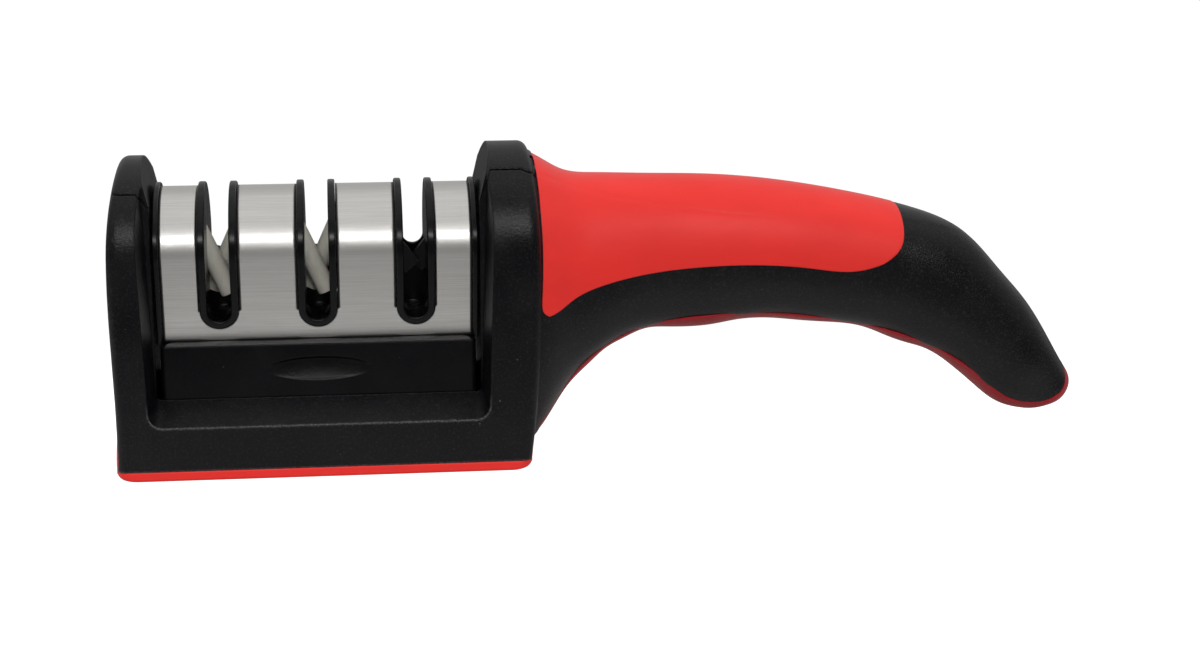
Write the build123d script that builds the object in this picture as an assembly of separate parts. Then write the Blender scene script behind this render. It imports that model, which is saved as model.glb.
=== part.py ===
from build123d import *
import math
import os

os.makedirs("parts", exist_ok=True)

# A hand-held three-stage knife sharpener that stands on a worktop.
# X runs along the handle, the slots' front openings face -Y, and Z is up.
# The origin is on the underside, straight below the middle slot. All sizes are in millimetres.

# Slots and the cartridge that carries them
slot_count = 3
slot_pitch = 21.0
slot_opening = 5.1
slot_floor = 32.3
rim_wall = 1.55
rim_proud = 0.9
end_land = 13.4
flange_thickness = 1.2

# Cross-section of the steel cover, from the bottom edge over the shoulder to the crown
cover_foot_half = 11.0
cover_foot = 28.1
shoulder_half = 14.5
shoulder = 49.2
cover_crown = 59.9
shoulder_round = 2.0
steel_thickness = 0.5
shell_wall = 1.5

# Lower part of the cartridge
tray_top = 27.6
tray_half_depth = 14.0
tray_wall = 2.0
tray_bottom = 7.3
tray_inset = 0.7
dimple_length = 19.6
dimple_height = 5.6
dimple_depth = 1.1
dimple_bank_x = 3.4
dimple_bank_z = 1.4
tray_corner_round = 1.0
tray_top_round = 0.4
dimple_height_above_base = 21.9

# Housing: base block with a tower at each end
housing_half_depth = 22.0
left_tower_thickness = 8.8
right_tower_thickness = 12.8
arch_spring = 48.0
left_tower_top = 66.6
right_tower_top = 68.6
base_end_setback = 2.4
tower_edge_round = 2.2
housing_wall = 2.2
pocket_floor = 7.0
pocket_floor_thickness = 1.8
tower_hollow_top = 51.0
ledge_front = 11.2
ledge_back = 16.0
mouth_flare = 1.4
mouth_lean = 0.032
mouth_overrun = 0.6
ledge_corner_front = 3.2
ledge_corner_back = 1.2
base_corner_round = 3.0
tower_hollow_inset = 0.8
outline_top = 72.0

# Caps on the towers
left_seam = 60.7
right_seam = 64.3
facet_start = 57.8
facet_slope = math.tan(math.radians(13.5))
seam_drop_run = 2.4
seam_drop_end = facet_start - 0.6
peg_thickness = 2.4
peg_half_depth = 7.0
peg_bottom = 54.0
cover_opening_half = 4.5
cover_opening_start = 8.0
cover_opening_end = 76.0
cover_opening_floor = 44.0
cover_opening_headroom = 12.0
tongue_depth = 1.5

# Sole, base plate and the layers of soft grip
sole_thickness = 2.1
sole_lip_height = 9.0
sole_lip_thickness = 0.9
sole_edge_round = 0.6
lip_half_depth = 17.0
plate_thickness = 2.0
grip_thickness = 1.6
under_grip_thickness = 1.2
handle_wall = 2.4

# Abrasive rods of stages 1 and 2
rod_radius = 2.1
rod_length = 18.4
rod_tilt = 24.5
rod_crossing = 41.2
rod_below_crossing = 4.9
rod_offset = rod_radius + 0.3
rod_edge = 0.25
rod_seat_play = 0.3

# Carbide blades of stage 3
blade_length = 8.0
blade_width = 4.0
blade_thickness = 1.7
blade_offset = 1.05
blade_half_angle = 39.0
blade_notch = 44.2
blade_below_notch = 2.0
blade_screw_inset = 2.0

# Holders of the rods and blades, and the stop webs behind them
cheek_thickness = 3.8
cheek_half_depth = 5.5
cheek_top = 55.8
bridge_top = 30.5
web_front = 5.8
web_thickness = 1.5
web_notch = 45.4
web_notch_width = 4.6
web_root = 0.3

# Screws
base_screw_radius = 1.5
base_screw_length = 9.0
base_screw_head_radius = 2.4
base_screw_head_height = 1.2
base_screw_spread = 15.0
base_screw_inset = 3.6
base_boss_wall = 1.8
screw_recess_half = 0.3
tray_screw_radius = 1.1
tray_screw_length = 9.0
tray_screw_head_radius = 1.9
tray_screw_head_height = 1.3
tray_boss_radius = 2.2
tray_boss_rib = 1.4
blade_screw_radius = 0.8
blade_screw_head_radius = 1.15
blade_screw_head_height = 0.8
blade_screw_slit_depth = 0.4
blade_screw_slit_width = 0.4
blade_screw_clearance = 0.05

# Named clearances
bay_clearance = 0.4
seam_gap = 0.2
fit_clearance = 0.05
cover_clearance = 0.1
sole_proud = 0.15

# Places worked out from the sizes above
slot_centres = [slot_pitch * (i - (slot_count - 1) / 2) for i in range(slot_count)]
cartridge_half = slot_centres[-1] + end_land
cover_half = cartridge_half - flange_thickness - cover_clearance
bay_half = cartridge_half + bay_clearance
pocket_half_depth = tray_half_depth + bay_clearance
left_end = -(bay_half + left_tower_thickness)
right_end = bay_half + right_tower_thickness
rim_half = slot_opening / 2 + rim_wall
rim_floor = slot_floor - rim_wall
arch_radius = (shoulder_half**2 + (cover_crown - shoulder) ** 2) / (2 * (cover_crown - shoulder))
housing_bottom = sole_thickness
tray_half = cartridge_half - tray_inset
seat_below_shoulder = 10.0
sky = 90.0
far = 200.0

# Handle: each station is a slanted section from a point on the top line to one on the bottom line,
# given as (top x, top z, bottom x, bottom z, half width, fullness above, fullness below).
# Here and in the outlines below, x is counted from the right tower's end.
handle_stations = [
    (-5.3, right_tower_top - 0.6, -5.3, sole_thickness + 0.3, housing_half_depth - 0.4, 2.6, 5.0),
    (0.7, right_tower_top - 3.4, 0.3, sole_thickness + 3.5, housing_half_depth - 1.7, 2.6, 3.6),
    (6.4, 62.1, 6.4, 14.0, 17.2, 2.5, 3.0),
    (13.7, 61.2, 13.7, 21.1, 15.2, 2.4, 2.7),
    (24.7, 60.9, 23.2, 25.9, 13.9, 2.3, 2.5),
    (38.7, 60.5, 37.2, 26.9, 13.4, 2.3, 2.4),
    (55.0, 58.9, 52.2, 28.2, 13.3, 2.3, 2.4),
    (71.6, 55.9, 65.6, 26.7, 13.0, 2.3, 2.4),
    (85.7, 52.3, 77.0, 24.6, 12.6, 2.3, 2.4),
    (97.2, 47.1, 85.5, 21.0, 12.2, 2.3, 2.4),
    (105.7, 38.4, 93.8, 17.2, 11.8, 2.3, 2.4),
    (112.7, 30.3, 100.3, 11.5, 11.2, 2.3, 2.4),
    (118.0, 22.0, 105.9, 7.2, 10.2, 2.3, 2.3),
    (122.1, 15.2, 111.5, 5.3, 8.6, 2.2, 2.2),
    (123.4, 11.0, 117.0, 5.4, 6.0, 2.0, 2.0),
    (122.7, 8.5, 120.6, 6.5, 2.2, 2.0, 2.0),
]
section_points = 20

# Outline of the top grip seen from the front: its edge at the tower, the rounded tip,
# the long lower edge and the rounded end
grip_tower_edge = [(-0.8, outline_top), (-0.4, 64.0), (0.2, 52.0), (0.0, 37.0), (0.4, 34.2)]
grip_tip = [(0.4, 34.2), (1.7, 33.2), (3.2, 33.7)]
grip_low_edge = [(3.2, 33.7), (7.0, 36.0), (15.0, 39.1), (36.0, 42.0), (60.0, 41.1), (71.0, 40.3)]
grip_end_edge = [(71.0, 40.3), (76.5, 41.7), (80.6, 45.4), (81.5, 50.0), (80.0, 62.0)]

# Upper edge of the strip under the neck and handle, seen from the front
under_edge = [
    (-2.6, sole_thickness + 2.4),
    (3.2, 10.6),
    (6.6, 15.0),
    (17.3, 24.5),
    (26.7, 28.4),
    (45.0, 30.2),
    (67.0, 28.4),
    (90.0, 21.2),
    (99.5, 15.2),
    (105.0, 10.6),
    (109.0, 8.5),
    (113.4, 7.9),
    (118.0, 9.2),
    (120.8, 12.0),
    (122.0, 16.0),
    (123.5, 22.0),
]
under_edge_floor = -5.0

# Parting line of the handle cover: x, and how far it has dropped below the right cap's seam
parting_line = [
    (-3.8, 0.0),
    (0.0, 1.8),
    (5.3, 5.5),
    (14.9, 8.8),
    (42.0, 10.8),
    (82.6, 13.6),
    (98.0, 17.6),
]


def xz_prism(face, depth=far):
    """A face drawn in X and Z, carried both ways along Y."""
    return extrude(Plane.XZ * face, amount=depth, both=True)


def yz_prism(face, x_low, x_high):
    """A face drawn in Y and Z, carried from one X to another."""
    return extrude(Plane.YZ.offset(x_low) * face, amount=x_high - x_low)


def from_tower(points):
    """Points of an outline moved from the right tower's end to their place."""
    return [(right_end + x, z) for x, z in points]


def block(x_low, x_high, y_low, y_high, z_low, z_high):
    """A plain box between six planes."""
    size = Box(x_high - x_low, y_high - y_low, z_high - z_low)
    return Pos((x_low + x_high) / 2, (y_low + y_high) / 2, (z_low + z_high) / 2) * size


def upright(x, y, z_low, z_high, radius):
    """A vertical cylinder between two heights."""
    return Pos(x, y, (z_low + z_high) / 2) * Cylinder(radius, z_high - z_low)


def across(x, z, y_low, y_high, radius):
    """A cylinder along Y between two depths."""
    bar = Rot(90, 0, 0) * Cylinder(radius, y_high - y_low)
    return Pos(x, (y_low + y_high) / 2, z) * bar


def u_outline(centre, half_width, floor, top):
    """The outline of a slot with a half-round floor."""
    arc_height = floor + half_width
    upper = Pos(centre, (arc_height + top) / 2) * Rectangle(2 * half_width, top - arc_height)
    return upper + Pos(centre, arc_height) * Circle(half_width)


def arch_face(half_depth, spring, crown):
    """Upright sides up to the spring line, then half an ellipse."""
    sides = Pos(0, spring / 2) * Rectangle(2 * half_depth, spring)
    return sides + Pos(0, spring) * Ellipse(half_depth, crown - spring)


def cartridge_face(growth, bottom):
    """The cartridge's cross-section, grown outwards from the steel's outer face."""
    centre_height = cover_crown - arch_radius
    lean = (shoulder_half - cover_foot_half) / (shoulder - cover_foot)
    low = cover_foot - seat_below_shoulder
    low_half = shoulder_half - lean * (shoulder - low)
    right = (shoulder_half, shoulder)
    left = (-shoulder_half, shoulder)
    crown = ThreePointArc(left, (0, cover_crown), right)
    sides = Polyline(right, (low_half, low), (-low_half, low), left)
    face = make_face([crown, sides])
    corners = face.vertices().filter_by(lambda v: v.Y > centre_height)
    face = fillet(corners, shoulder_round)
    if growth != 0:
        face = offset(face, growth, kind=Kind.INTERSECTION)
    return face & Pos(0, bottom + far / 2) * Rectangle(far, far)


def handle_section(station, inset):
    """One closed cross-section of the handle, pulled in by the inset all round."""
    x_top, z_top, x_low, z_low, half_width, fullness_up, fullness_down = station
    rise = math.hypot(x_top - x_low, z_top - z_low)
    up = Vector((x_top - x_low) / rise, 0, (z_top - z_low) / rise)
    middle = Vector(right_end + (x_top + x_low) / 2, 0, (z_top + z_low) / 2)
    points = []
    for i in range(section_points):
        angle = 2 * math.pi * (i + 0.5) / section_points
        fullness = fullness_up if math.sin(angle) > 0 else fullness_down
        side = math.copysign(abs(math.cos(angle)) ** (2 / fullness), math.cos(angle))
        height = math.copysign(abs(math.sin(angle)) ** (2 / fullness), math.sin(angle))
        point = middle + up * (height * (rise / 2 - inset))
        points.append(point + Vector(0, side * (half_width - inset), 0))
    return Wire([Spline(points, periodic=True).edge()])


def handle_solid(inset, last_station=None):
    """The handle through its stations, from inside the right tower to the tip."""
    stations = handle_stations[:last_station]
    return Solid.make_loft([handle_section(s, inset) for s in stations])


def housing_outline(side, end, foot, top_end):
    """Half of the housing seen from the front; side is -1 for the left end and 1 for the right."""
    low_corner = (side * foot, housing_bottom)
    top_corner = (side * top_end, outline_top)
    edge = Spline(low_corner, (side * end, 36), (side * (end - 0.3), 52), top_corner)
    rest = Polyline(top_corner, (0, outline_top), (0, housing_bottom), low_corner)
    return make_face([edge, rest])


def mouth_wire(y, half, floor, corner):
    """The bay's outline at one depth; its walls lean out as they rise."""
    upper_half = half + mouth_lean * (sky - floor)
    sketch = make_face(
        Polyline((-half, floor), (half, floor), (upper_half, sky), (-upper_half, sky), close=True)
    )
    low_corners = sketch.vertices().filter_by(lambda v: v.Y < floor + 1)
    plane = Plane(origin=(0, y, 0), x_dir=(1, 0, 0), z_dir=(0, -1, 0))
    return (plane * fillet(low_corners, corner)).wire()


def bay():
    """The space for the cartridge: a straight middle, and a mouth that widens to the front and back."""
    space = block(-bay_half, bay_half, -pocket_half_depth, pocket_half_depth, pocket_floor, sky)
    run = housing_half_depth + mouth_overrun - pocket_half_depth
    for direction in (-1, 1):
        inner = mouth_wire(direction * pocket_half_depth, bay_half, ledge_back, ledge_corner_back)
        outer_y = direction * (pocket_half_depth + run)
        outer = mouth_wire(outer_y, bay_half + mouth_flare, ledge_front, ledge_corner_front)
        space += Solid.make_loft([inner, outer], ruled=True)
    return space


def above_left_seam(gap):
    """Everything above the left cap's seam, seen from the front."""
    z = left_seam + gap
    low = seam_drop_end + gap
    run = bay_half + seam_drop_run
    corners = ((-far, z), (-run, z), (-bay_half, low), (0, low), (0, far), (-far, far))
    return make_face(Polyline(*corners, close=True))


def above_parting_line(gap):
    """Everything above the right cap's seam and the handle cover's parting line."""
    z = right_seam + gap
    low = seam_drop_end + gap
    points = from_tower([(x, z - drop) for x, drop in parting_line])
    tower = Polyline((bay_half, low), (bay_half + seam_drop_run, z), points[0])
    line = Spline(*points)
    end = line @ 1
    rest = Polyline((end.X, end.Y), (end.X, far), (0, far), (0, low), (bay_half, low))
    return make_face([tower, line, rest])


def grip_region():
    """The area of the soft top grip, seen from the front."""
    left = Spline(*from_tower(grip_tower_edge))
    tip = ThreePointArc(*from_tower(grip_tip))
    low = Spline(*from_tower(grip_low_edge))
    end = Spline(*from_tower(grip_end_edge))
    end_x = end.position_at(1).X
    left_x = left.position_at(0).X
    above = Polyline(end @ 1, (end_x, sky), (left_x, sky), left @ 0)
    return make_face([left, tip, low, end, above])


def under_region():
    """The area of the soft strip under the neck and handle, seen from the front."""
    edge = Spline(*from_tower(under_edge))
    start_x = edge.position_at(0).X
    end_x = edge.position_at(1).X
    rest = Polyline(edge @ 1, (end_x, under_edge_floor), (start_x, under_edge_floor), edge @ 0)
    return make_face([edge, rest])


def plan_outline(growth):
    """The base seen from above."""
    foot = base_end_setback
    low = left_end + 0.4 - growth
    high = right_end - foot + growth
    depth = 2 * (housing_half_depth + growth)
    return Pos((low + high) / 2, 0) * RectangleRounded(high - low, depth, base_corner_round + growth)


def end_edges(half, end):
    """The edges round one end of the housing, from the foot over the top and down again."""
    side = math.copysign(1, end)
    near_end = half.edges().filter_by(lambda e: side * e.bounding_box().center().X > abs(end) - 6)
    return near_end.filter_by(lambda e: e.bounding_box().max.Z > housing_bottom + 1)


def housing_block():
    """The outer shape of the base and both towers, before anything is hollowed."""
    left = housing_outline(-1, -left_end, -left_end - 0.5, -left_end - 3.4)
    right = housing_outline(1, right_end, right_end - base_end_setback, right_end - 1.9)
    left_arch = yz_prism(arch_face(housing_half_depth, arch_spring, left_tower_top), -far, 0)
    right_arch = yz_prism(arch_face(housing_half_depth, arch_spring, right_tower_top), 0, far)
    left_half = xz_prism(left) & left_arch
    right_half = xz_prism(right) & right_arch
    left_half = fillet(end_edges(left_half, left_end), tower_edge_round)
    right_half = fillet(end_edges(right_half, right_end), tower_edge_round)
    return left_half + right_half


def facets():
    """The wedges cut from the inner sides of the tower tops."""
    reach = bay_half + facet_slope * (sky - facet_start)
    corners = ((-bay_half, facet_start), (bay_half, facet_start), (reach, sky), (-reach, sky))
    return xz_prism(make_face(Polyline(*corners, close=True)))


def sole_lip():
    """The upturned edge of the sole at the left end."""
    height = sole_lip_height - sole_thickness
    ring = plan_outline(sole_proud) - plan_outline(-sole_lip_thickness)
    lip = Pos(0, 0, sole_thickness) * extrude(ring, amount=height)
    return lip & block(-far, left_end + tower_edge_round, -lip_half_depth, lip_half_depth, 0, far)


def base_screw_places():
    """Where the four screws of the base plate stand, two under each tower."""
    x = bay_half + base_screw_inset
    return [(side_x * x, side_y * base_screw_spread) for side_x in (-1, 1) for side_y in (-1, 1)]


def housing_hollows():
    """The space inside the base, the towers and the handle."""
    half = housing_half_depth - housing_wall
    low = left_end + housing_wall + 0.2
    high = right_end - base_end_setback - housing_wall
    space = block(low, high, -half, half, housing_bottom, pocket_floor - pocket_floor_thickness)
    deep = half - tower_hollow_inset
    tower_wall = right_end - handle_wall - 1.2
    space += block(low, -bay_half - housing_wall, -deep, deep, housing_bottom, tower_hollow_top)
    space += block(bay_half + housing_wall, tower_wall, -deep, deep, housing_bottom, tower_hollow_top)
    for direction in (-1, 1):
        near = direction * (pocket_half_depth + housing_wall)
        ends = sorted((near, direction * half))
        space += block(-bay_half, bay_half, ends[0], ends[1], housing_bottom, ledge_front - housing_wall)
    inner_handle = handle_solid(grip_thickness + handle_wall, -3)
    space += inner_handle & block(tower_wall + handle_wall, far, -far, far, 0, far)
    return space


def cover_opening(half_width, run_in):
    """The long opening along the top of the handle's lower shell, under the cover."""
    low = right_end + cover_opening_start + run_in
    high = right_end + cover_opening_end - run_in
    return block(low, high, -half_width, half_width, cover_opening_floor, sky)


def cap_peg(x, growth, top):
    """A flat peg under a tower cap; growth opens it out into its socket."""
    half = peg_thickness / 2 + growth
    deep = peg_half_depth + growth
    return block(x - half, x + half, -deep, deep, peg_bottom - growth, top)


def housing_parts():
    """The housing, both caps, the two soft grips and the sole, cut from one outer shape."""
    block_shape = housing_block()
    handle = handle_solid(0)
    handle -= block(-far, far, -far, far, -far, housing_bottom)
    top_layer = (handle & xz_prism(grip_region())) - handle_solid(grip_thickness)
    under_layer = (handle & xz_prism(under_region())) - handle_solid(under_grip_thickness, -1)
    top_layer -= block_shape
    under_layer -= block_shape
    whole = block_shape + handle
    whole = whole - bay() - facets()
    whole = whole - top_layer - under_layer

    left_cap = whole & xz_prism(above_left_seam(seam_gap / 2))
    cover = whole & xz_prism(above_parting_line(seam_gap / 2))
    lower = whole - xz_prism(above_left_seam(-seam_gap / 2))
    lower -= xz_prism(above_parting_line(-seam_gap / 2))

    left_peg_x = -bay_half - left_tower_thickness / 2
    right_peg_x = bay_half + right_tower_thickness / 2
    left_cap += cap_peg(left_peg_x, 0, left_seam + 1)
    cover += cap_peg(right_peg_x, 0, right_seam + 1)
    tongue = cover_opening(cover_opening_half - fit_clearance, fit_clearance)
    tongue &= xz_prism(above_parting_line(-tongue_depth)) - xz_prism(above_parting_line(seam_gap / 2))
    cover += tongue

    lower -= housing_hollows()
    lower -= cover_opening(cover_opening_half, 0) & xz_prism(above_parting_line(-cover_opening_headroom))
    lower -= cap_peg(left_peg_x, fit_clearance, sky)
    lower -= cap_peg(right_peg_x, fit_clearance, sky)
    plate_top = housing_bottom + plate_thickness
    for x, y in base_screw_places():
        boss_top = plate_top + base_screw_length
        lower += upright(x, y, plate_top, boss_top, base_screw_radius + base_boss_wall)
        lower -= upright(x, y, plate_top, boss_top - 1, base_screw_radius + fit_clearance)
    lower -= sole_lip()
    return {
        "main_housing": lower,
        "left_tower_cap": left_cap,
        "handle_cover": cover,
        "top_grip": top_layer,
        "under_grip": under_layer,
    }


def base_sole():
    """The soft sole under the base, with its lip up the left end."""
    pad = extrude(plan_outline(sole_proud), amount=sole_thickness)
    pad = fillet(pad.edges().group_by(Axis.Z)[0], sole_edge_round)
    return pad + sole_lip()


def base_plate():
    """The plate that closes the base from below, inside the housing's rim."""
    gap = fit_clearance
    half = housing_half_depth - housing_wall - gap
    low = left_end + housing_wall + 0.2 + gap
    high = right_end - base_end_setback - housing_wall - gap
    plate = block(low, high, -half, half, housing_bottom, housing_bottom + plate_thickness)
    seat = housing_bottom + base_screw_head_height
    for x, y in base_screw_places():
        plate -= upright(x, y, 0, far, base_screw_radius + gap)
        plate -= upright(x, y, 0, seat, base_screw_head_radius + gap)
    return plate


def screw(x, y, seat, head_radius, head_height, radius, length):
    """A screw that points up, its head under the seat and a cross recess in the head."""
    head = upright(x, y, seat - head_height, seat, head_radius)
    shank = upright(x, y, seat, seat + length, radius)
    tip = Pos(x, y, seat + length + radius / 2) * Cone(radius, radius / 3, radius)
    arm = head_radius / 2
    thin = screw_recess_half
    low = seat - head_height
    recess = block(x - arm, x + arm, y - thin, y + thin, low, low + head_height / 2)
    recess += block(x - thin, x + thin, y - arm, y + arm, low, low + head_height / 2)
    return head + shank + tip - recess


def base_screws():
    """The four screws of the base plate."""
    seat = housing_bottom + base_screw_head_height
    shank = base_screw_length - 3
    sizes = (base_screw_head_radius, base_screw_head_height, base_screw_radius, shank)
    return Compound([screw(x, y, seat, *sizes) for x, y in base_screw_places()])


def tray_screw_places():
    """Where the screws that hold the tray stand: between the slots, and in the four corners."""
    between = [((a + b) / 2, 0) for a, b in zip(slot_centres, slot_centres[1:])]
    x = tray_half - tray_wall - tray_screw_head_radius - 0.3
    y = cheek_half_depth + tray_boss_radius + 0.1
    return between + [(side_x * x, side_y * y) for side_x in (-1, 1) for side_y in (-1, 1)]


def tray():
    """The lower part of the cartridge: a deck on four walls, with a finger dimple front and back."""
    body = block(-tray_half, tray_half, -tray_half_depth, tray_half_depth, tray_bottom, tray_top)
    body = fillet(body.edges().filter_by(Axis.Z), tray_corner_round)
    body = fillet(body.edges().group_by(Axis.Z)[-1], tray_top_round)
    inner_x = tray_half - tray_wall
    inner_y = tray_half_depth - tray_wall
    body -= block(-inner_x, inner_x, -inner_y, inner_y, tray_bottom, tray_top - tray_wall)
    for direction in (-1, 1):
        centre = (0, direction * tray_half_depth, dimple_height_above_base)
        plane = Plane(origin=centre, x_dir=(1, 0, 0), z_dir=(0, direction, 0))
        half_x = dimple_length / 2
        half_z = dimple_height / 2
        mouth = plane.offset(0.01) * Ellipse(half_x, half_z)
        floor = plane.offset(-dimple_depth) * Ellipse(half_x - dimple_bank_x, half_z - dimple_bank_z)
        body -= Solid.make_loft([mouth.wire(), floor.wire()], ruled=True)
    for x, y in tray_screw_places():
        body -= upright(x, y, 0, far, tray_screw_radius + fit_clearance)
    return body


def tray_screws():
    """The screws that hold the tray to the slot frame."""
    seat = tray_top - tray_wall
    sizes = (tray_screw_head_radius, tray_screw_head_height, tray_screw_radius, tray_screw_length)
    return Compound([screw(x, y, seat, *sizes) for x, y in tray_screw_places()])


def rod(centre, direction, growth=0, stretch=0):
    """An abrasive rod; direction is -1 for the front one, whose top leans to -X, and 1 for the rear."""
    length = rod_length + 2 * stretch
    middle = rod_length / 2 - rod_below_crossing
    lean = direction * math.radians(rod_tilt)
    bar = Rot(0, direction * rod_tilt, 0) * Cylinder(rod_radius + growth, length)
    x = centre + middle * math.sin(lean)
    z = rod_crossing + middle * math.cos(lean)
    if growth == 0:
        bar = chamfer(bar.edges(), rod_edge)
    return Pos(x, direction * rod_offset, z) * bar


def blade_face(centre, side, growth):
    """A carbide blade seen from the front; its upper inner edge is one side of the V."""
    angle = math.radians(blade_half_angle)
    along = (side * math.sin(angle), math.cos(angle))
    down = (side * math.cos(angle), -math.sin(angle))
    corners = []
    low, high = (-blade_below_notch - growth, blade_length + growth)
    near, away = (-growth, blade_width + growth)
    for t, n in ((low, near), (high, near), (high, away), (low, away)):
        corners.append((centre + along[0] * t + down[0] * n, blade_notch + along[1] * t + down[1] * n))
    return make_face(Polyline(*corners, close=True))


def blade_screw_place(centre, side):
    """The centre of a blade's screw, seen from the front; its head stays clear of the slot's wall."""
    angle = math.radians(blade_half_angle)
    n = blade_width / 2
    clear = rim_half + blade_screw_head_radius + blade_screw_clearance
    t = max(blade_length - blade_screw_inset, (clear - n * math.cos(angle)) / math.sin(angle))
    x = centre + side * (t * math.sin(angle) + n * math.cos(angle))
    return x, blade_notch + t * math.cos(angle) - n * math.sin(angle)


def blade(centre, side, growth=0):
    """A carbide blade; side is -1 for the front one, left of the V, and 1 for the rear one."""
    depth = blade_thickness / 2 + growth
    face = Plane.XZ.offset(-side * blade_offset) * blade_face(centre, side, growth)
    plate = extrude(face, amount=depth, both=True)
    if growth == 0:
        x, z = blade_screw_place(centre, side)
        plate -= across(x, z, -10, 10, blade_screw_radius + fit_clearance)
    return plate


def holder(centre):
    """Two cheeks beside a slot's walls, joined by a bridge under its floor, clear of the screw bosses."""
    inner = rim_half + fit_clearance
    outer = min(inner + cheek_thickness, slot_pitch / 2 - tray_boss_radius - fit_clearance)
    deep = cheek_half_depth
    yoke = block(centre - outer, centre + outer, -deep, deep, tray_top, bridge_top)
    for low, high in ((centre - outer, centre - inner), (centre + inner, centre + outer)):
        yoke += block(low, high, -deep, deep, tray_top, cheek_top)
    return yoke


def rod_holder(centre):
    """The holder of one stage's two rods."""
    yoke = holder(centre)
    for direction in (-1, 1):
        yoke -= rod(centre, direction, fit_clearance, rod_seat_play)
    return yoke


def blade_holder(centre):
    """The holder of the carbide blades, with a screw through each cheek."""
    yoke = holder(centre)
    for side in (-1, 1):
        yoke -= blade(centre, side, fit_clearance)
        x, z = blade_screw_place(centre, side)
        yoke -= across(x, z, -10, 10, blade_screw_radius + fit_clearance)
    return yoke


def blade_screws(centre):
    """The two screws that lock the carbide blades in their holder."""
    screws = []
    seat = -cheek_half_depth
    front = seat - blade_screw_head_height
    reach = blade_screw_head_radius
    thin = blade_screw_slit_width / 2
    for side in (-1, 1):
        x, z = blade_screw_place(centre, side)
        pin = across(x, z, seat, cheek_half_depth - 0.5, blade_screw_radius)
        head = across(x, z, front, seat, blade_screw_head_radius)
        slit = block(x - reach, x + reach, front, front + blade_screw_slit_depth, z - thin, z + thin)
        screws.append(pin + head - slit)
    return Compound(screws)


def slot_frame():
    """The cartridge's plastic frame: skin, end flanges, U-shaped slot walls and the webs across them."""
    skin_growth = -steel_thickness - fit_clearance
    skin_half = cartridge_half - flange_thickness
    skin_outer = cartridge_face(skin_growth, tray_top)
    skin_inner = cartridge_face(skin_growth - shell_wall, tray_top - 1)
    proud = cartridge_face(rim_proud, tray_top)
    frame = yz_prism(skin_outer, -skin_half, skin_half) - yz_prism(skin_inner, -skin_half, skin_half)
    for low in (-cartridge_half, skin_half):
        frame += yz_prism(proud, low, low + flange_thickness)
    for centre in slot_centres:
        walls = xz_prism(u_outline(centre, rim_half, rim_floor, sky))
        frame += walls & yz_prism(proud, centre - rim_half, centre + rim_half)
    boss_top = tray_top + tray_screw_length + 1
    inside = yz_prism(skin_outer, -skin_half, skin_half)
    for x, y in tray_screw_places():
        boss = upright(x, y, tray_top, boss_top, tray_boss_radius)
        if y == 0:
            boss += block(x - tray_boss_rib / 2, x + tray_boss_rib / 2, -far, far, tray_top, boss_top)
        frame += boss & inside
        frame -= upright(x, y, tray_top, boss_top - 0.5, tray_screw_radius + fit_clearance)
    for centre in slot_centres:
        frame -= xz_prism(u_outline(centre, slot_opening / 2, slot_floor, sky))
        low = centre - slot_opening / 2 - web_root
        high = centre + slot_opening / 2 + web_root
        web = block(low, high, web_front, web_front + web_thickness, slot_floor + 1, web_notch + 2)
        frame += web - xz_prism(u_outline(centre, web_notch_width / 2, web_notch, sky))
    for centre in slot_centres[:2]:
        for direction in (-1, 1):
            frame -= rod(centre, direction, fit_clearance, rod_seat_play)
    for side in (-1, 1):
        frame -= blade(slot_centres[-1], side, fit_clearance)
    return frame


def steel_cover():
    """The brushed steel saddle over the frame, open where the slots' rims stand through it."""
    cover = yz_prism(cartridge_face(0, cover_foot), -cover_half, cover_half)
    cover -= yz_prism(cartridge_face(-steel_thickness, cover_foot - 1), -cover_half, cover_half)
    for centre in slot_centres:
        opening = u_outline(centre, rim_half + cover_clearance, rim_floor - cover_clearance, sky)
        cover -= xz_prism(opening)
    return cover


def all_parts():
    """Every sub-part by its node name."""
    parts = housing_parts()
    parts["base_sole"] = base_sole()
    parts["base_plate"] = base_plate()
    parts["base_screws"] = base_screws()
    parts["cartridge_tray"] = tray()
    parts["cartridge_screws"] = tray_screws()
    parts["slot_frame"] = slot_frame()
    parts["steel_cover"] = steel_cover()
    for stage, centre in enumerate(slot_centres[:2], start=1):
        parts[f"stage_{stage}_front_rod"] = rod(centre, -1)
        parts[f"stage_{stage}_rear_rod"] = rod(centre, 1)
        parts[f"stage_{stage}_rod_holder"] = rod_holder(centre)
    last = slot_centres[-1]
    parts["carbide_blade_front"] = blade(last, -1)
    parts["carbide_blade_rear"] = blade(last, 1)
    parts["carbide_blade_holder"] = blade_holder(last)
    parts["carbide_blade_screws"] = blade_screws(last)
    return parts


for name, shape in all_parts().items():
    export_step(shape, f"parts/{name}.step")
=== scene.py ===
import math

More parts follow.
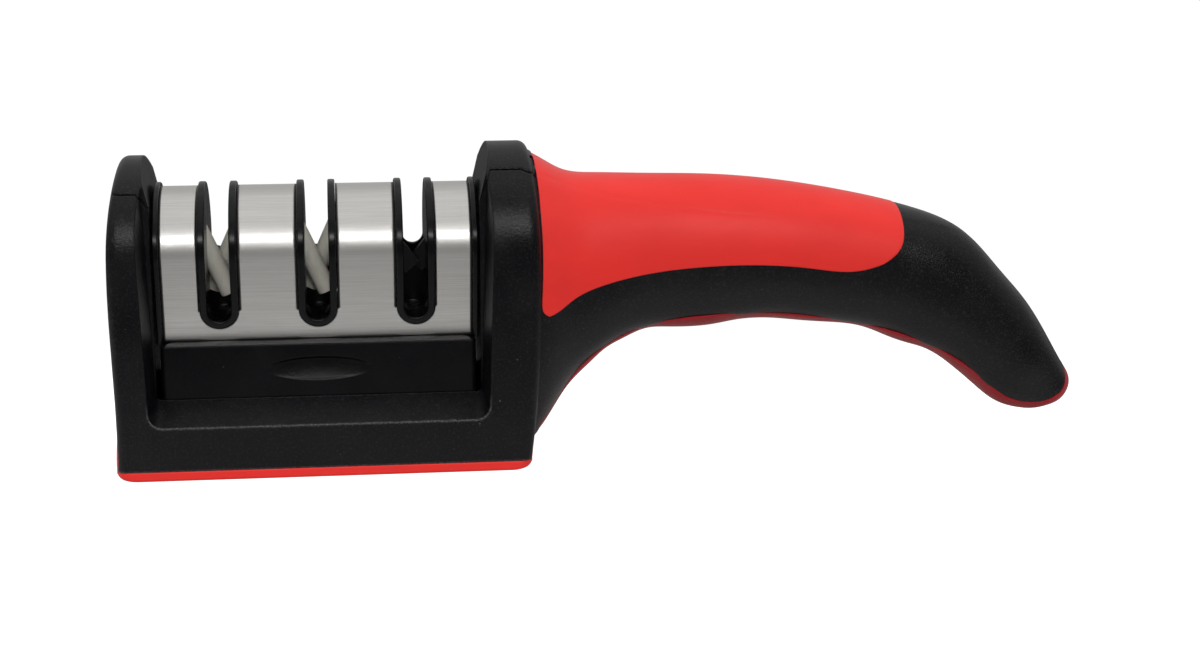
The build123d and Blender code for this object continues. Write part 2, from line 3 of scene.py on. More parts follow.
import bmesh
import bpy
import numpy as np
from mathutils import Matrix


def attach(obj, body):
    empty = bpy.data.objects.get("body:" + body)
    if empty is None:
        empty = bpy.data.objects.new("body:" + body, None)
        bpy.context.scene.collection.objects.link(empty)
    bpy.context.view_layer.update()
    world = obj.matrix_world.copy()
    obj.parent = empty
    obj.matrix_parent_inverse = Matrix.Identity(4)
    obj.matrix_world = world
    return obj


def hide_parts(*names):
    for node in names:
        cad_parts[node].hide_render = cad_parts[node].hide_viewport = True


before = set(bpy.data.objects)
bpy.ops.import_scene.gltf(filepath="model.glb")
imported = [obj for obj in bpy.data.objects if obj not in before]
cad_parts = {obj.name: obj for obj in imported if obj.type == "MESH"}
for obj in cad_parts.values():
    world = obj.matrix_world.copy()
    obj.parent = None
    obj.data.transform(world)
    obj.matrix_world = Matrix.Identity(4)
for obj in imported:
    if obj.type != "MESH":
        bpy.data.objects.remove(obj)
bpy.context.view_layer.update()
print("frame loaded")

mm = 0.001
housingBody = "sharpener_body"
cartridgeBody = "cartridge"
rightEnd = 47.6  # outer face of the right tower


# Natural cubic curve through rows of values given at rising places, read at other places.
def smoothThrough(places, values, at):
    places = np.asarray(places, float)
    values = np.asarray(values, float).reshape(len(places), -1)
    gap = np.diff(places)
    slope = np.diff(values, axis=0) / gap[:, None]
    system = np.eye(len(places))
    inner = np.arange(1, len(places) - 1)
    system[inner, inner - 1] = gap[:-1]
    system[inner, inner] = 2 * (gap[:-1] + gap[1:])
    system[inner, inner + 1] = gap[1:]
    load = np.zeros_like(values)
    load[1:-1] = 6 * (slope[1:] - slope[:-1])
    bend = np.linalg.solve(system, load)
    k = np.clip(np.searchsorted(places, at) - 1, 0, len(places) - 2)
    t = (at - places[k])[:, None]
    g = gap[k][:, None]
    start = slope[k] - g * (2 * bend[k] + bend[k + 1]) / 6
    return values[k] + t * start + t**2 * bend[k] / 2 + t**3 * (bend[k + 1] - bend[k]) / (6 * g)


# Length run along a row of points, from 0 at the first.
def runAlong(points):
    return np.concatenate([[0], np.cumsum(np.linalg.norm(np.diff(points, axis=0), axis=1))])


# Points of an outline joined by a smooth curve whose parameter is the straight distance between them.
def smoothCurve(points, count):
    points = np.asarray(points, float)
    run = runAlong(points)
    return smoothThrough(run, points, np.linspace(0, run[-1], count))


# Rises with the value from 0 to 1, level at both ends: value^2 (3 - 2 value).
def easeStep(value):
    value = np.clip(value, 0, 1)
    return value * value * (3 - 2 * value)


# Points on a quarter circle about (x, y), clockwise from an angle in degrees.
def quarterRound(x, y, radius, first, count):
    turn = np.radians(np.linspace(first, first - 90, count))
    return [(x + radius * math.cos(q), y + radius * math.sin(q)) for q in turn]


# Half of a section in (Y, Z), joined at its last point to its mirror image.
def bothSides(half):
    return np.concatenate([half * np.array([-1, 1]), half[::-1][1:]])


# A row of (Y, Z) points carried along X.
def carriedAlongX(x, row):
    grid = np.empty((len(x), len(row), 3))
    grid[..., 0] = x[:, None]
    grid[..., 1:] = row
    return grid


# One property of every element of a mesh, as rows of numbers.
def readRows(elements, key, wide, kind=float):
    values = np.empty(len(elements) * wide, kind)
    elements.foreach_get(key, values)
    return values.reshape(-1, wide)


# One mesh from grids of points in millimetres: four neighbours make a face, doubles are merged, and
# faces that have shrunk to nothing go. Closed joins the last column of each grid to its first.
def pieceFromGrids(name, grids, rideOn, standsFor, material, sharpDegrees, closed=False):
    points = []
    faces = []
    total = 0
    for grid in grids:
        rows, columns = grid.shape[:2]
        spans = columns if closed else columns - 1
        r, c = np.meshgrid(np.arange(rows - 1) * columns, np.arange(spans), indexing="ij")
        n = (c + 1) % columns
        quads = np.stack([r + c, r + n, r + columns + n, r + columns + c], -1)
        faces.append(quads.reshape(-1, 4) + total)
        points.append(grid.reshape(-1, 3) * mm)
        total += rows * columns
    mesh = bpy.data.meshes.new(name)
    mesh.from_pydata(np.concatenate(points).tolist(), [], np.concatenate(faces).tolist())
    work = bmesh.new()
    work.from_mesh(mesh)
    bmesh.ops.remove_doubles(work, verts=work.verts, dist=0.002 * mm)
    bmesh.ops.dissolve_degenerate(work, edges=work.edges, dist=0.001 * mm)
    bmesh.ops.recalc_face_normals(work, faces=work.faces)
    work.to_mesh(mesh)
    work.free()
    return finishPiece(name, mesh, rideOn, standsFor, material, sharpDegrees)


def addObject(name, data):
    made = bpy.data.objects.new(name, data)
    bpy.context.scene.collection.objects.link(made)
    return made


def finishPiece(name, mesh, rideOn, standsFor, material, sharpDegrees=None):
    if sharpDegrees is not None:
        mesh.shade_smooth()
        mesh.set_sharp_from_angle(angle=math.radians(sharpDegrees))
    mesh.materials.append(material)
    piece = addObject(name, mesh)
    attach(piece, rideOn)
    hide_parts(*standsFor)
    return piece


# A merged copy of a CAD node's triangles that keeps the node's own normals: corners on the same tenth of a
# micrometre are one, and a triangle that this shuts goes. Keep picks triangles by their corners.
def copyOfNode(name, node, rideOn, material, keep=None):
    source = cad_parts[node].data
    points = readRows(source.vertices, "co", 3)
    triangles = readRows(source.loops, "vertex_index", 1, int).reshape(-1, 3)
    normals = readRows(source.corner_normals, "vector", 3).reshape(-1, 3, 3)
    if keep is not None:
        chosen = keep(points[triangles] / mm)
        triangles, normals = triangles[chosen], normals[chosen]
    step = 1e-7
    spots, back = np.unique(np.round(points / step).astype(np.int64), axis=0, return_inverse=True)
    triangles = back.reshape(-1)[triangles]
    whole = (triangles != np.roll(triangles, 1, axis=1)).all(1)
    triangles, normals = triangles[whole], normals[whole]
    used, triangles = np.unique(triangles, return_inverse=True)
    mesh = bpy.data.meshes.new(name)
    mesh.from_pydata((spots[used] * step).tolist(), [], triangles.reshape(-1, 3).tolist())
    mesh.shade_smooth()
    mesh.normals_split_custom_set(normals.reshape(-1, 3).tolist())
    finishPiece(name, mesh, rideOn, [node], material)


# Outline of a rounded rectangle pulled in by a distance: straight runs and quarter circles whose samples
# keep their order, so that outlines of different distances join point to point.
def roundedOutline(halfWide, halfDeep, corner, pulledIn, perSide, perCorner):
    wide = max(halfWide - pulledIn, 0.0)
    deep = max(halfDeep - pulledIn, 0.0)
    turn = min(max(corner - pulledIn, 0.02), wide + 1e-9, deep + 1e-9)  # never quite sharp
    centres = np.array([(1, -1), (1, 1), (-1, 1), (-1, -1)]) * np.array([wide - turn, deep - turn])
    rows = []
    for k, centre in enumerate(centres):
        angle = math.radians(-90 + 90 * k) + np.linspace(0, math.pi / 2, perCorner)
        arc = centre + turn * np.stack([np.cos(angle), np.sin(angle)], 1)
        following = centres[(k + 1) % 4]
        turned = math.radians(90 * k)
        start = arc[-1]
        end = following + turn * np.array([math.cos(turned), math.sin(turned)])
        share = np.linspace(0, 1, perSide[k % 2] + 1)[1:-1, None]
        rows += [arc, start + (end - start) * share]
    return np.concatenate(rows)


def setInputs(tree, node, inputs):
    for key, value in inputs.items():
        if isinstance(value, bpy.types.NodeSocket):
            tree.links.new(value, node.inputs[key])
        else:
            node.inputs[key].default_value = value


def addNode(tree, kind, inputs=None, **settings):
    made = tree.nodes.new("ShaderNode" + kind)
    for key, value in settings.items():
        setattr(made, key, value)
    setInputs(tree, made, inputs or {})
    return made


# Noise whose features are about this many millimetres long along each axis.
def grain(tree, place, size, detail=2.0, roughness=0.5):
    sizes = size if isinstance(size, tuple) else (size, size, size)
    stretched = addNode(tree, "Mapping", {"Vector": place, "Scale": [1 / (s * mm) for s in sizes]}).outputs[0]
    inputs = {"Vector": stretched, "Scale": 1.0, "Detail": detail, "Roughness": roughness}
    return addNode(tree, "TexNoise", inputs).outputs["Fac"]


def mapTo(tree, value, low, high, fromLow=0.0, fromHigh=1.0):
    inputs = {"Value": value, "From Min": fromLow, "From Max": fromHigh, "To Min": low, "To Max": high}
    return addNode(tree, "MapRange", inputs).outputs[0]


def mathNode(tree, operation, first, second=0.0):
    return addNode(tree, "Math", {0: first, 1: second}, operation=operation).outputs[0]


# The number that an operation on vectors gives, such as their distance.
def vectorNode(tree, operation, first, second=(0, 0, 0)):
    return addNode(tree, "VectorMath", {0: first, 1: second}, operation=operation).outputs["Value"]


def mixColour(tree, share, first, second):
    return addNode(tree, "Mix", {0: share, 6: first, 7: second}, data_type="RGBA").outputs[2]


def addBump(tree, height, depth, strength, under):
    inputs = {"Height": height, "Distance": depth * mm, "Strength": strength}
    if under is not None:
        inputs["Normal"] = under
    return addNode(tree, "Bump", inputs).outputs[0]


# A colour with sparse round specks of another one. Each kind of speck has the cell of the jittered grid that
# it lies in, its radius, and the share of the cells that hold one.
def sprinkle(tree, place, under, colour, strength, kinds):
    amount = 0.0
    for cell, radius, share in kinds:
        inputs = {"Vector": place, "Scale": 1 / (cell * mm), "Randomness": 1.0}
        cells = addNode(tree, "TexVoronoi", inputs).outputs
        near = mapTo(tree, cells["Distance"], 1.0, 0.0, radius / cell * 0.6, radius / cell * 1.4)
        pick = addNode(tree, "SeparateColor", {"Color": cells["Color"]}).outputs[0]
        speck = mathNode(tree, "MULTIPLY", near, mathNode(tree, "LESS_THAN", pick, share))
        amount = mathNode(tree, "MAXIMUM", amount, speck)
    return mixColour(tree, mathNode(tree, "MULTIPLY", amount, strength), under, colour)


# How much painted highlight an edge gets: more where the rounded normal turns away from the plain one, broken
# up by the fine grain, and fading out between two heights.
def paintedEdgeHighlight(tree, place, look, rounded, fine):
    plain = addNode(tree, "NewGeometry").outputs["Normal"]
    turned = mapTo(tree, vectorNode(tree, "DOT_PRODUCT", rounded, plain), look["edgeHighlighting"], 0.0, 0.82, 0.96)
    broken = mathNode(tree, "MULTIPLY", turned, mapTo(tree, fine, 0.3, 1.0, 0.40, 0.62))
    height = addNode(tree, "SeparateXYZ", {"Vector": place}).outputs["Z"]
    low, high = look["highlightFades"]
    return mathNode(tree, "MULTIPLY", broken, mapTo(tree, height, 1.0, 0.0, low * mm, high * mm))


# What every finish has unless its own dictionary below says otherwise.
anyFinish = dict(
    grains={},  # noise patterns by name: size, detail, roughness
    streaks=None,  # one more pattern, added up from parts of two others
    tones=(),  # pattern, the values between which a colour comes in, how strongly, and the colour
    edgeRound=0,  # radius of the rounded normals, which also place the painted edge highlight
    specks=(),  # colour, how strongly it shows, and the kinds of speck
    roughness=0.5,  # or a pattern, the two ends, and the pattern's values there
    swing=0,  # how far the fine pattern shakes the roughness
    bumps=(),  # pattern, depth and strength, from the lowest one up
    rings=(),  # X, Y, Z and radius of round witness marks, which are low ridges
    gloss=0.5,
    shader={},  # further constants on the shader
    tangent=None,  # name of the map that the brushing follows
)


# A material made of what its finish lists, in the order of the list above.
def makeFinish(name, look):
    material = bpy.data.materials.new(name)
    material.use_nodes = True
    tree = material.node_tree
    place = addNode(tree, "TexCoord").outputs["Object"]
    patterns = {key: grain(tree, place, *kind) for key, kind in look["grains"].items()}
    if look["streaks"]:
        parts = [mathNode(tree, "MULTIPLY", patterns[key], part) for key, part in look["streaks"]]
        patterns["streaks"] = mathNode(tree, "ADD", *parts)
    colour = look["colour"]
    for key, low, high, strength, over in look["tones"]:
        colour = mixColour(tree, mapTo(tree, patterns[key], 0.0, strength, low, high), colour, over)
    normal = None
    if look["edgeRound"]:
        normal = addNode(tree, "Bevel", {"Radius": look["edgeRound"] * mm}, samples=4).outputs[0]
        # Painted highlight along the edges: a paler colour mixed in where the rounded normal turns.
        rubbedAndEdgeHighlight = paintedEdgeHighlight(tree, place, look, normal, patterns["fine"])
        colour = mixColour(tree, rubbedAndEdgeHighlight, colour, look["edgeHighlightColour"])
    for kind in look["specks"]:
        colour = sprinkle(tree, place, colour, *kind)
    rough = look["roughness"]
    if isinstance(rough, tuple):
        rough = mapTo(tree, patterns[rough[0]], *rough[1:])
    if look["swing"]:
        rough = mathNode(tree, "ADD", rough, mapTo(tree, patterns["fine"], -look["swing"], look["swing"]))
    for key, depth, strength in look["bumps"]:
        normal = addBump(tree, patterns[key], depth, strength, normal)
    for x, y, z, radius in look["rings"]:
        away = vectorNode(tree, "DISTANCE", place, (x * mm, y * mm, z * mm))
        off = mathNode(tree, "ABSOLUTE", mathNode(tree, "SUBTRACT", away, radius * mm))
        normal = addBump(tree, mapTo(tree, off, 1.0, 0.0, 0.0, 0.35 * mm), 0.05, 0.5, normal)
    inputs = {"Base Color": colour, "Roughness": rough, "Normal": normal, "Specular IOR Level": look["gloss"]}
    if look["tangent"]:
        way = addNode(tree, "Tangent", direction_type="UV_MAP", uv_map=look["tangent"])
        inputs["Tangent"] = way.outputs[0]
    setInputs(tree, tree.nodes["Principled BSDF"], {**inputs, **look["shader"]})
    return material


# Moulded black plastic: patches of uneven sheen, fine spark-eroded grain with painted glints in its colour,
# a painted highlight along edges near the foot, and a few specks of dust. On the inner parts the grain is low
# and no edge gets the painted highlight.
blackPatches = ("patches", 0.35, 0.7, 1.0, (0.0030, 0.0030, 0.0042, 1))
blackFinish = dict(
    anyFinish,
    colour=(0.0014, 0.0014, 0.0024, 1),
    grains=dict(patches=(9.0, 3.0), fine=(0.5, 3.0, 0.65)),
    # The second tone paints glints on the fine grain into the colour, as a pale grey.
    tones=(blackPatches, ("fine", 0.52, 0.78, 0.6, (0.030, 0.030, 0.033, 1))),
    edgeRound=0.8,
    # Pale grey painted in as a highlight along edges, fading out between two heights near the foot.
    edgeHighlightColour=(0.20, 0.20, 0.205, 1),
    edgeHighlighting=1.0,
    highlightFades=(14.0, 17.0),
    specks=(((0.16, 0.155, 0.14, 1), 0.55, ((4.2, 0.15, 0.20), (1.9, 0.08, 0.10))),),
    roughness=("patches", 0.28, 0.38, 0.3, 0.7),
    swing=0.05,
    bumps=(("fine", 0.13, 0.6),),
    gloss=0.30,
)
innerFinish = dict(
    blackFinish,
    # Far fewer painted glints on the grain here.
    tones=(blackPatches, ("fine", 0.52, 0.78, 0.10, (0.030, 0.030, 0.033, 1))),
    edgeRound=0.3,
    edgeHighlighting=0.0,
    bumps=(("fine", 0.06, 0.6),),
    gloss=0.20,
)
# Smooth black plastic: low waves of sink and flow, light smears, hardly any grain.
glossFinish = dict(
    anyFinish,
    colour=(0.0018, 0.0018, 0.0022, 1),
    grains=dict(smears=((5.0, 2.0, 6.0), 4.0, 0.6), waves=(2.6, 1.0), fine=(0.22, 2.0)),
    roughness=("smears", 0.18, 0.30, 0.3, 0.7),
    bumps=(("waves", 0.05, 0.35), ("fine", 0.006, 0.5)),
    gloss=0.30,
)
# Soft red grip: rubbery, slightly uneven in tone, with fine grain, specks of dust and a little dirt. The strip
# under the handle is a darker copy of it, painted shade for the shadow under the handle.
redFinish = dict(
    anyFinish,
    colour=(0.84, 0.030, 0.023, 1),
    grains=dict(patches=((14.0, 8.0, 7.0), 3.0), fine=(0.34, 3.0, 0.6), lumps=(2.4, 2.0)),
    tones=(("patches", 0.3, 0.72, 1.0, (0.78, 0.026, 0.020, 1)),),
    specks=(
        ((0.95, 0.80, 0.74, 1), 0.7, ((5.5, 0.12, 0.20),)),
        ((0.14, 0.015, 0.012, 1), 0.75, ((9.0, 0.16, 0.16),)),
    ),
    roughness=("patches", 0.40, 0.50, 0.3, 0.7),
    swing=0.04,
    bumps=(("lumps", 0.10, 0.25), ("fine", 0.03, 0.5)),
    gloss=0.28,
    shader={
        "Sheen Weight": 0.06, "Sheen Roughness": 0.45,
        "Subsurface Weight": 0.12, "Subsurface Scale": 0.0012, "Subsurface Radius": (1.0, 0.25, 0.15),
    },
)
# Darker red for the strip under the handle: painted shade, not a different rubber.
stripPaintedShadeFinish = dict(
    redFinish,
    colour=(0.36, 0.014, 0.018, 1),
    tones=(("patches", 0.3, 0.72, 1.0, (0.33, 0.012, 0.016, 1)),),
    gloss=0.15,
)
# Steel brushed along X: streaks far longer than they are wide, in three widths, with a few dark specks.
steelFinish = dict(
    anyFinish,
    colour=(0.83, 0.812, 0.782, 1),
    grains=dict(
        wide=((45.0, 0.6, 0.6), 2.0, 0.6),
        thin=((13.0, 0.17, 0.17), 3.0, 0.7),
        hair=((8.0, 0.05, 0.05), 2.0, 0.6),
    ),
    streaks=(("wide", 0.3), ("thin", 0.7)),
    tones=(("streaks", 0.38, 0.64, 1.0, (0.70, 0.684, 0.655, 1)),),
    specks=(((0.20, 0.19, 0.18, 1), 0.6, ((6.5, 0.14, 0.25),)),),
    roughness=("streaks", 0.29, 0.37, 0.35, 0.65),
    bumps=(("thin", 0.010, 0.35), ("hair", 0.006, 0.4)),
    shader={"Metallic": 1.0, "Anisotropic": 0.55},
    tangent="acrossGrain",
)
# Fired white ceramic: fine grit, yellowed a little, with grey metal rubbed into it in patches.
ceramicFinish = dict(
    anyFinish,
    colour=(0.80, 0.78, 0.68, 1),
    grains=dict(rubbedAndEdgeHighlight=((1.6, 1.6, 5.0), 4.0, 0.7), grit=(0.14, 3.0)),
    tones=(("rubbedAndEdgeHighlight", 0.48, 0.8, 0.55, (0.40, 0.39, 0.36, 1)),),
    roughness=0.6,
    bumps=(("grit", 0.02, 0.5),),
    shader={"Subsurface Weight": 0.1, "Subsurface Scale": 0.001},
)
# Metal with fine scratches across one direction.
carbideFinish = dict(
    anyFinish,
    colour=(0.045, 0.045, 0.048, 1),
    grains=dict(lines=((0.08, 1.5, 1.5), 3.0, 0.7)),
    roughness=("lines", 0.35, 0.55, 0.3, 0.7),
    bumps=(("lines", 0.012, 0.5),),
    shader={"Metallic": 1.0},
)
zincFinish = dict(
    carbideFinish,
    colour=(0.55, 0.55, 0.54, 1),
    grains=dict(lines=((0.5, 0.5, 0.12), 3.0, 0.7)),
    roughness=("lines", 0.2, 0.42, 0.3, 0.7),
)

witnessMarks = ((16.7, -22.0, 6.1, 1.7), (30.6, -22.0, 5.4, 1.7))
housingBlack = makeFinish("housingBlack", dict(blackFinish, rings=witnessMarks))
plainBlack = makeFinish("plainBlack", innerFinish)
handleBlack = makeFinish("handleBlack", dict(blackFinish, edgeRound=0, gloss=0.38))
frameBlack = makeFinish("frameBlack", glossFinish)
gripRed = makeFinish("gripRed", redFinish)
stripRedPaintedShade = makeFinish("stripRedPaintedShade", stripPaintedShadeFinish)
coverSteel = makeFinish("coverSteel", steelFinish)
rodCeramic = makeFinish("rodCeramic", ceramicFinish)
bladeCarbide = makeFinish("bladeCarbide", carbideFinish)
screwZinc = makeFinish("screwZinc", zincFinish)
print("materials made")


# Slanted sections from a point on the top line to one on the bottom line:
# top x, top z, bottom x, bottom z, half width, fullness above, fullness below; x from the tower's end.
handleSections = np.array([
    (-5.3, 68.0, -5.3, 2.4, 21.6, 2.6, 5.0),
    (0.7, 65.2, 0.3, 5.6, 20.3, 2.6, 3.6),
    (6.4, 62.1, 6.4, 14.0, 17.2, 2.5, 3.0),
    (13.7, 61.2, 13.7, 21.1, 15.2, 2.4, 2.7),
    (24.7, 60.9, 23.2, 25.9, 13.9, 2.3, 2.5),
    (38.7, 60.5, 37.2, 26.9, 13.4, 2.3, 2.4),
    (55.0, 58.9, 52.2, 28.2, 13.3, 2.3, 2.4),
    (71.6, 55.9, 65.6, 26.7, 13.0, 2.3, 2.4),
    (85.7, 52.3, 77.0, 24.6, 12.6, 2.3, 2.4),
    (97.2, 47.1, 85.5, 21.0, 12.2, 2.3, 2.4),
    (105.7, 38.4, 93.8, 17.2, 11.8, 2.3, 2.4),
    (112.7, 30.3, 100.3, 11.5, 11.2, 2.3, 2.4),
    (118.0, 22.0, 105.9, 7.2, 10.2, 2.3, 2.3),
    (122.1, 15.2, 111.5, 5.3, 8.6, 2.2, 2.2),
    (123.4, 11.0, 117.0, 5.4, 6.0, 2.0, 2.0),
    (122.7, 8.5, 120.6, 6.5, 2.2, 2.0, 2.0),
])
handleSections[:, [0, 2]] += rightEnd
sectionPlaces = runAlong((handleSections[:, 0:2] + handleSections[:, 2:4]) / 2)
sectionPlaces /= sectionPlaces[-1]


# A point of the handle: place runs 0 to 1 along it, and angle goes round the section, 0 at the front and
# a quarter turn at the top. A section is a superellipse, |side|^n + |rise|^n = 1, read by its polar angle.
def handlePoint(place, angle):
    row = smoothThrough(sectionPlaces, handleSections, place.ravel())
    topX, topZ, lowX, lowZ, half, fullUp, fullDown = row.T
    side = np.cos(angle).ravel()
    rise = np.sin(angle).ravel()
    full = np.where(rise >= 0, fullUp, fullDown)
    reach = (np.abs(side) ** full + np.abs(rise) ** full) ** (-1 / full)
    side = side * reach
    rise = rise * reach
    x = (topX + lowX) / 2 + rise * (topX - lowX) / 2
    z = (topZ + lowZ) / 2 + rise * (topZ - lowZ) / 2
    return np.stack([x, -half * side, z], 1).reshape(place.shape + (3,))


# The handle's surface moved out by a distance along its normal, the cross product of its two slopes.
def handleSurface(place, angle, lift):
    step = 1e-4
    turn = 1e-3
    point = handlePoint(place, angle)
    along = handlePoint(place + step, angle) - handlePoint(place - step, angle)
    around = handlePoint(place, angle + turn) - handlePoint(place, angle - turn)
    normal = np.cross(along, around)
    normal /= np.linalg.norm(normal, axis=-1, keepdims=True) + 1e-12
    axis = (point + handlePoint(place, angle + math.pi)) / 2
    inward = np.sum(normal * (point - axis), -1, keepdims=True) < 0
    normal = np.where(inward, -normal, normal)
    return point + normal * np.asarray(lift)[..., None]


# Where points of the side view lie on the handle: the section through each, found where the cross product
# with the section's line changes sign, the angle that has its height, and that height over the half section.
def onHandleSide(points):
    places = np.linspace(0, 1, 2400)
    row = smoothThrough(sectionPlaces, handleSections, places)
    line = row[:, 0:2] - row[:, 2:4]
    gapX = points[:, None, 0] - row[None, :, 2]
    gapZ = points[:, None, 1] - row[None, :, 3]
    crossing = gapX * line[None, :, 1] - gapZ * line[None, :, 0]
    k = np.clip(np.argmax(crossing < 0, axis=1) - 1, 0, len(places) - 2)
    every = np.arange(len(points))
    share = crossing[every, k] / (crossing[every, k] - crossing[every, k + 1])
    place = places[k] + np.clip(share, 0, 1) * (places[1] - places[0])
    row = smoothThrough(sectionPlaces, handleSections, place)
    up = (row[:, 0:2] - row[:, 2:4]) / 2
    rise = np.sum((points - (row[:, 0:2] + row[:, 2:4]) / 2) * up, 1) / np.sum(up * up, 1)
    held = np.clip(rise, -1, 1)
    full = np.where(held >= 0, row[:, 5], row[:, 6])
    side = (1 - np.abs(held) ** full) ** (1 / full)
    return place, np.arctan2(held, side), rise


# Reads a curve of (place, angle) at shares of its length over the handle.
def alongCurve(place, angle, shares):
    run = runAlong(handlePoint(place, angle))
    run /= run[-1]
    return np.interp(shares, run, place), np.interp(shares, run, angle)


# Distance of each point of a grid to the nearest of a line's points, one row of the grid at a time.
def distanceTo(grid, line):
    out = np.empty(grid.shape[:2])
    for k in range(len(grid)):
        out[k] = np.sqrt(((grid[k][:, None] - line[None]) ** 2).sum(-1)).min(1)
    return out


# Lift of a skin whose border rolls in over a quarter circle: sqrt(radius^2 - short^2) - radius, where short is
# what a point's distance to the border lacks of the radius.
def rolledIn(point, border, radius):
    short = np.clip(radius - distanceTo(point, border), 0, radius)
    return np.sqrt(radius**2 - short**2) - radius


# Smooth curve of the side view through points whose X counts from the right tower's end.
def sideCurve(points, count):
    return smoothCurve([(rightEnd + x, z) for x, z in points], count)


# Parting line of the handle's cover.
partingLine = sideCurve(
    [(-0.6, 63.2), (5, 60.9), (14.6, 58), (22.3, 56.5), (42, 53.5), (82.3, 50.7), (89.3, 49.4), (98, 46.4)],
    count=400,
)

stripLook = dict(
    edge=[
        (-2.6, 5.6), (2.8, 11.6), (6.0, 16.0), (16.9, 25.1), (26.6, 28.8), (45.5, 30.55), (67.0, 28.4),
        (90.0, 21.2), (99.5, 15.2), (105.0, 10.6), (109.0, 8.5), (113.4, 7.9), (118.0, 9.2), (120.8, 12.0),
        (121.4, 14.8), (121.3, 18.0),
    ],
    # place along X and how far the strip stands out there
    bumps=[
        (44, 0.0), (50, -0.1), (54, 0.0), (58.5, 0.35), (63, 0.0), (67, 0.12), (72.3, -0.22), (77, 0.1),
        (82, 0.28), (88, 0.1), (92.5, -0.17), (99, 0.06), (107, 0.28), (114, -0.15), (121, -0.18),
        (127, 0.34), (131, 0.15), (135.6, -0.32), (142.7, 0.2), (148.8, -0.15), (154, 0.05), (162, -0.15),
        (166, -0.2), (172, 0.0),
    ],
    bumpEnd=1.3,  # the larger, the further up the sides the bumps run
    tip=166, tipRun=4, tipSunk=0.1, tipDome=0.5,
    edgeRound=0.15, edgeShare=0.02, skirt=0.8,
    columns=90, rows=300, tailRows=60,
)


# Edge of the strip in the handle's place and angle: the lower run up to where it lies furthest along the
# handle, and the upper run, which curls back along the tip until it leaves the side view.
def stripEdge():
    place, angle, rise = onHandleSide(sideCurve(stripLook["edge"], count=2600))
    leaving = np.flatnonzero(rise >= 0.995)
    last = leaving[leaving > 1500][0]  # the samples up to 1500 lie on the neck and the underside
    turn = int(np.argmax(place[:last]))
    upperPlace = np.append(place[turn:last], place[last - 1])[::-1]
    upperAngle = np.append(angle[turn:last], math.pi / 2)[::-1]
    return (np.maximum.accumulate(place[:turn]), angle[:turn]), (np.maximum.accumulate(upperPlace), upperAngle)


lowerEdge, upperEdge = stripEdge()
shellLook = dict(
    under=-0.12, ridge=0.10, ridgeWidth=0.9,
    ridgeFrom=124, ridgeIn=6, ridgeTo=149, ridgeOut=8,
    deepUnder=-0.75, deepFrom=0.03, deepRun=0.12,  # the last two are angles inside the strip's edge
    rows=300, columns=220,
)


# Black shell of the handle: the surface a little below the soft grips and well below the strip, with a low
# step at the parting line beyond the top grip, which eases in and out.
def blackHandle():
    look = shellLook
    place = np.linspace(0, 1, look["rows"])
    angle = np.linspace(0, 2 * math.pi, look["columns"] + 1)[:-1]
    place, angle = np.meshgrid(place, angle, indexing="ij")
    x, _, z = np.moveaxis(handlePoint(place, angle), -1, 0)
    drop = z - np.interp(x, *partingLine.T)
    fade = easeStep((x - look["ridgeFrom"]) / look["ridgeIn"])
    fade = fade * easeStep((look["ridgeTo"] - x) / look["ridgeOut"])
    lift = look["under"] + look["ridge"] * fade * (easeStep(drop / look["ridgeWidth"] + 0.5) - 1)
    folded = np.arctan2(np.sin(angle), np.abs(np.cos(angle)))
    covered = easeStep((np.interp(place, *lowerEdge) - folded - look["deepFrom"]) / look["deepRun"])
    lift = lift + (look["deepUnder"] - look["under"]) * covered
    skin = handleSurface(place, angle, lift)
    middle = skin[-1].mean(0)
    close = [middle + (skin[-1] - middle) * k for k in (0.6, 0.0)]
    standsFor = ["main_housing", "handle_cover"]
    skin = np.concatenate([skin, close])
    pieceFromGrids("handleShell", [skin], housingBody, standsFor, handleBlack, 40, True)


gripLook = dict(
    towerEdge=[(-0.8, 72.0), (-0.4, 64.0), (0.2, 52.0), (0.0, 37.0), (0.4, 34.2), (1.7, 33.2)],
    lowEdge=[
        (1.7, 33.2), (3.2, 33.7), (7.0, 36.0), (15.0, 39.1), (36.0, 42.0), (60.0, 41.1), (71.0, 40.3),
        (76.5, 41.7),
    ],
    endEdge=[(76.5, 41.7), (80.6, 45.4), (81.5, 50.0), (80.0, 62.0)],
    long=82, tall=34, edgeRound=0.35, skirt=0.9,
    groove=0.085, grooveWidth=0.42, grooveTo=62, grooveOut=30,
    columns=300, rows=116,
)


# Shares from 0 to 1 that crowd towards both ends, or one, so that the rounded border gets its own rows.
def crowded(count, near, bothEnds=True):
    ends = np.array([0, 0.05, 0.16, 0.34, 0.6, 1.0, 1.5]) * near
    inner = np.linspace(ends[-1], 1 - ends[-1] if bothEnds else 1, count)[1:]
    shares = np.concatenate([ends, inner])
    return np.concatenate([shares, (1 - ends)[::-1][1:]]) if bothEnds else shares


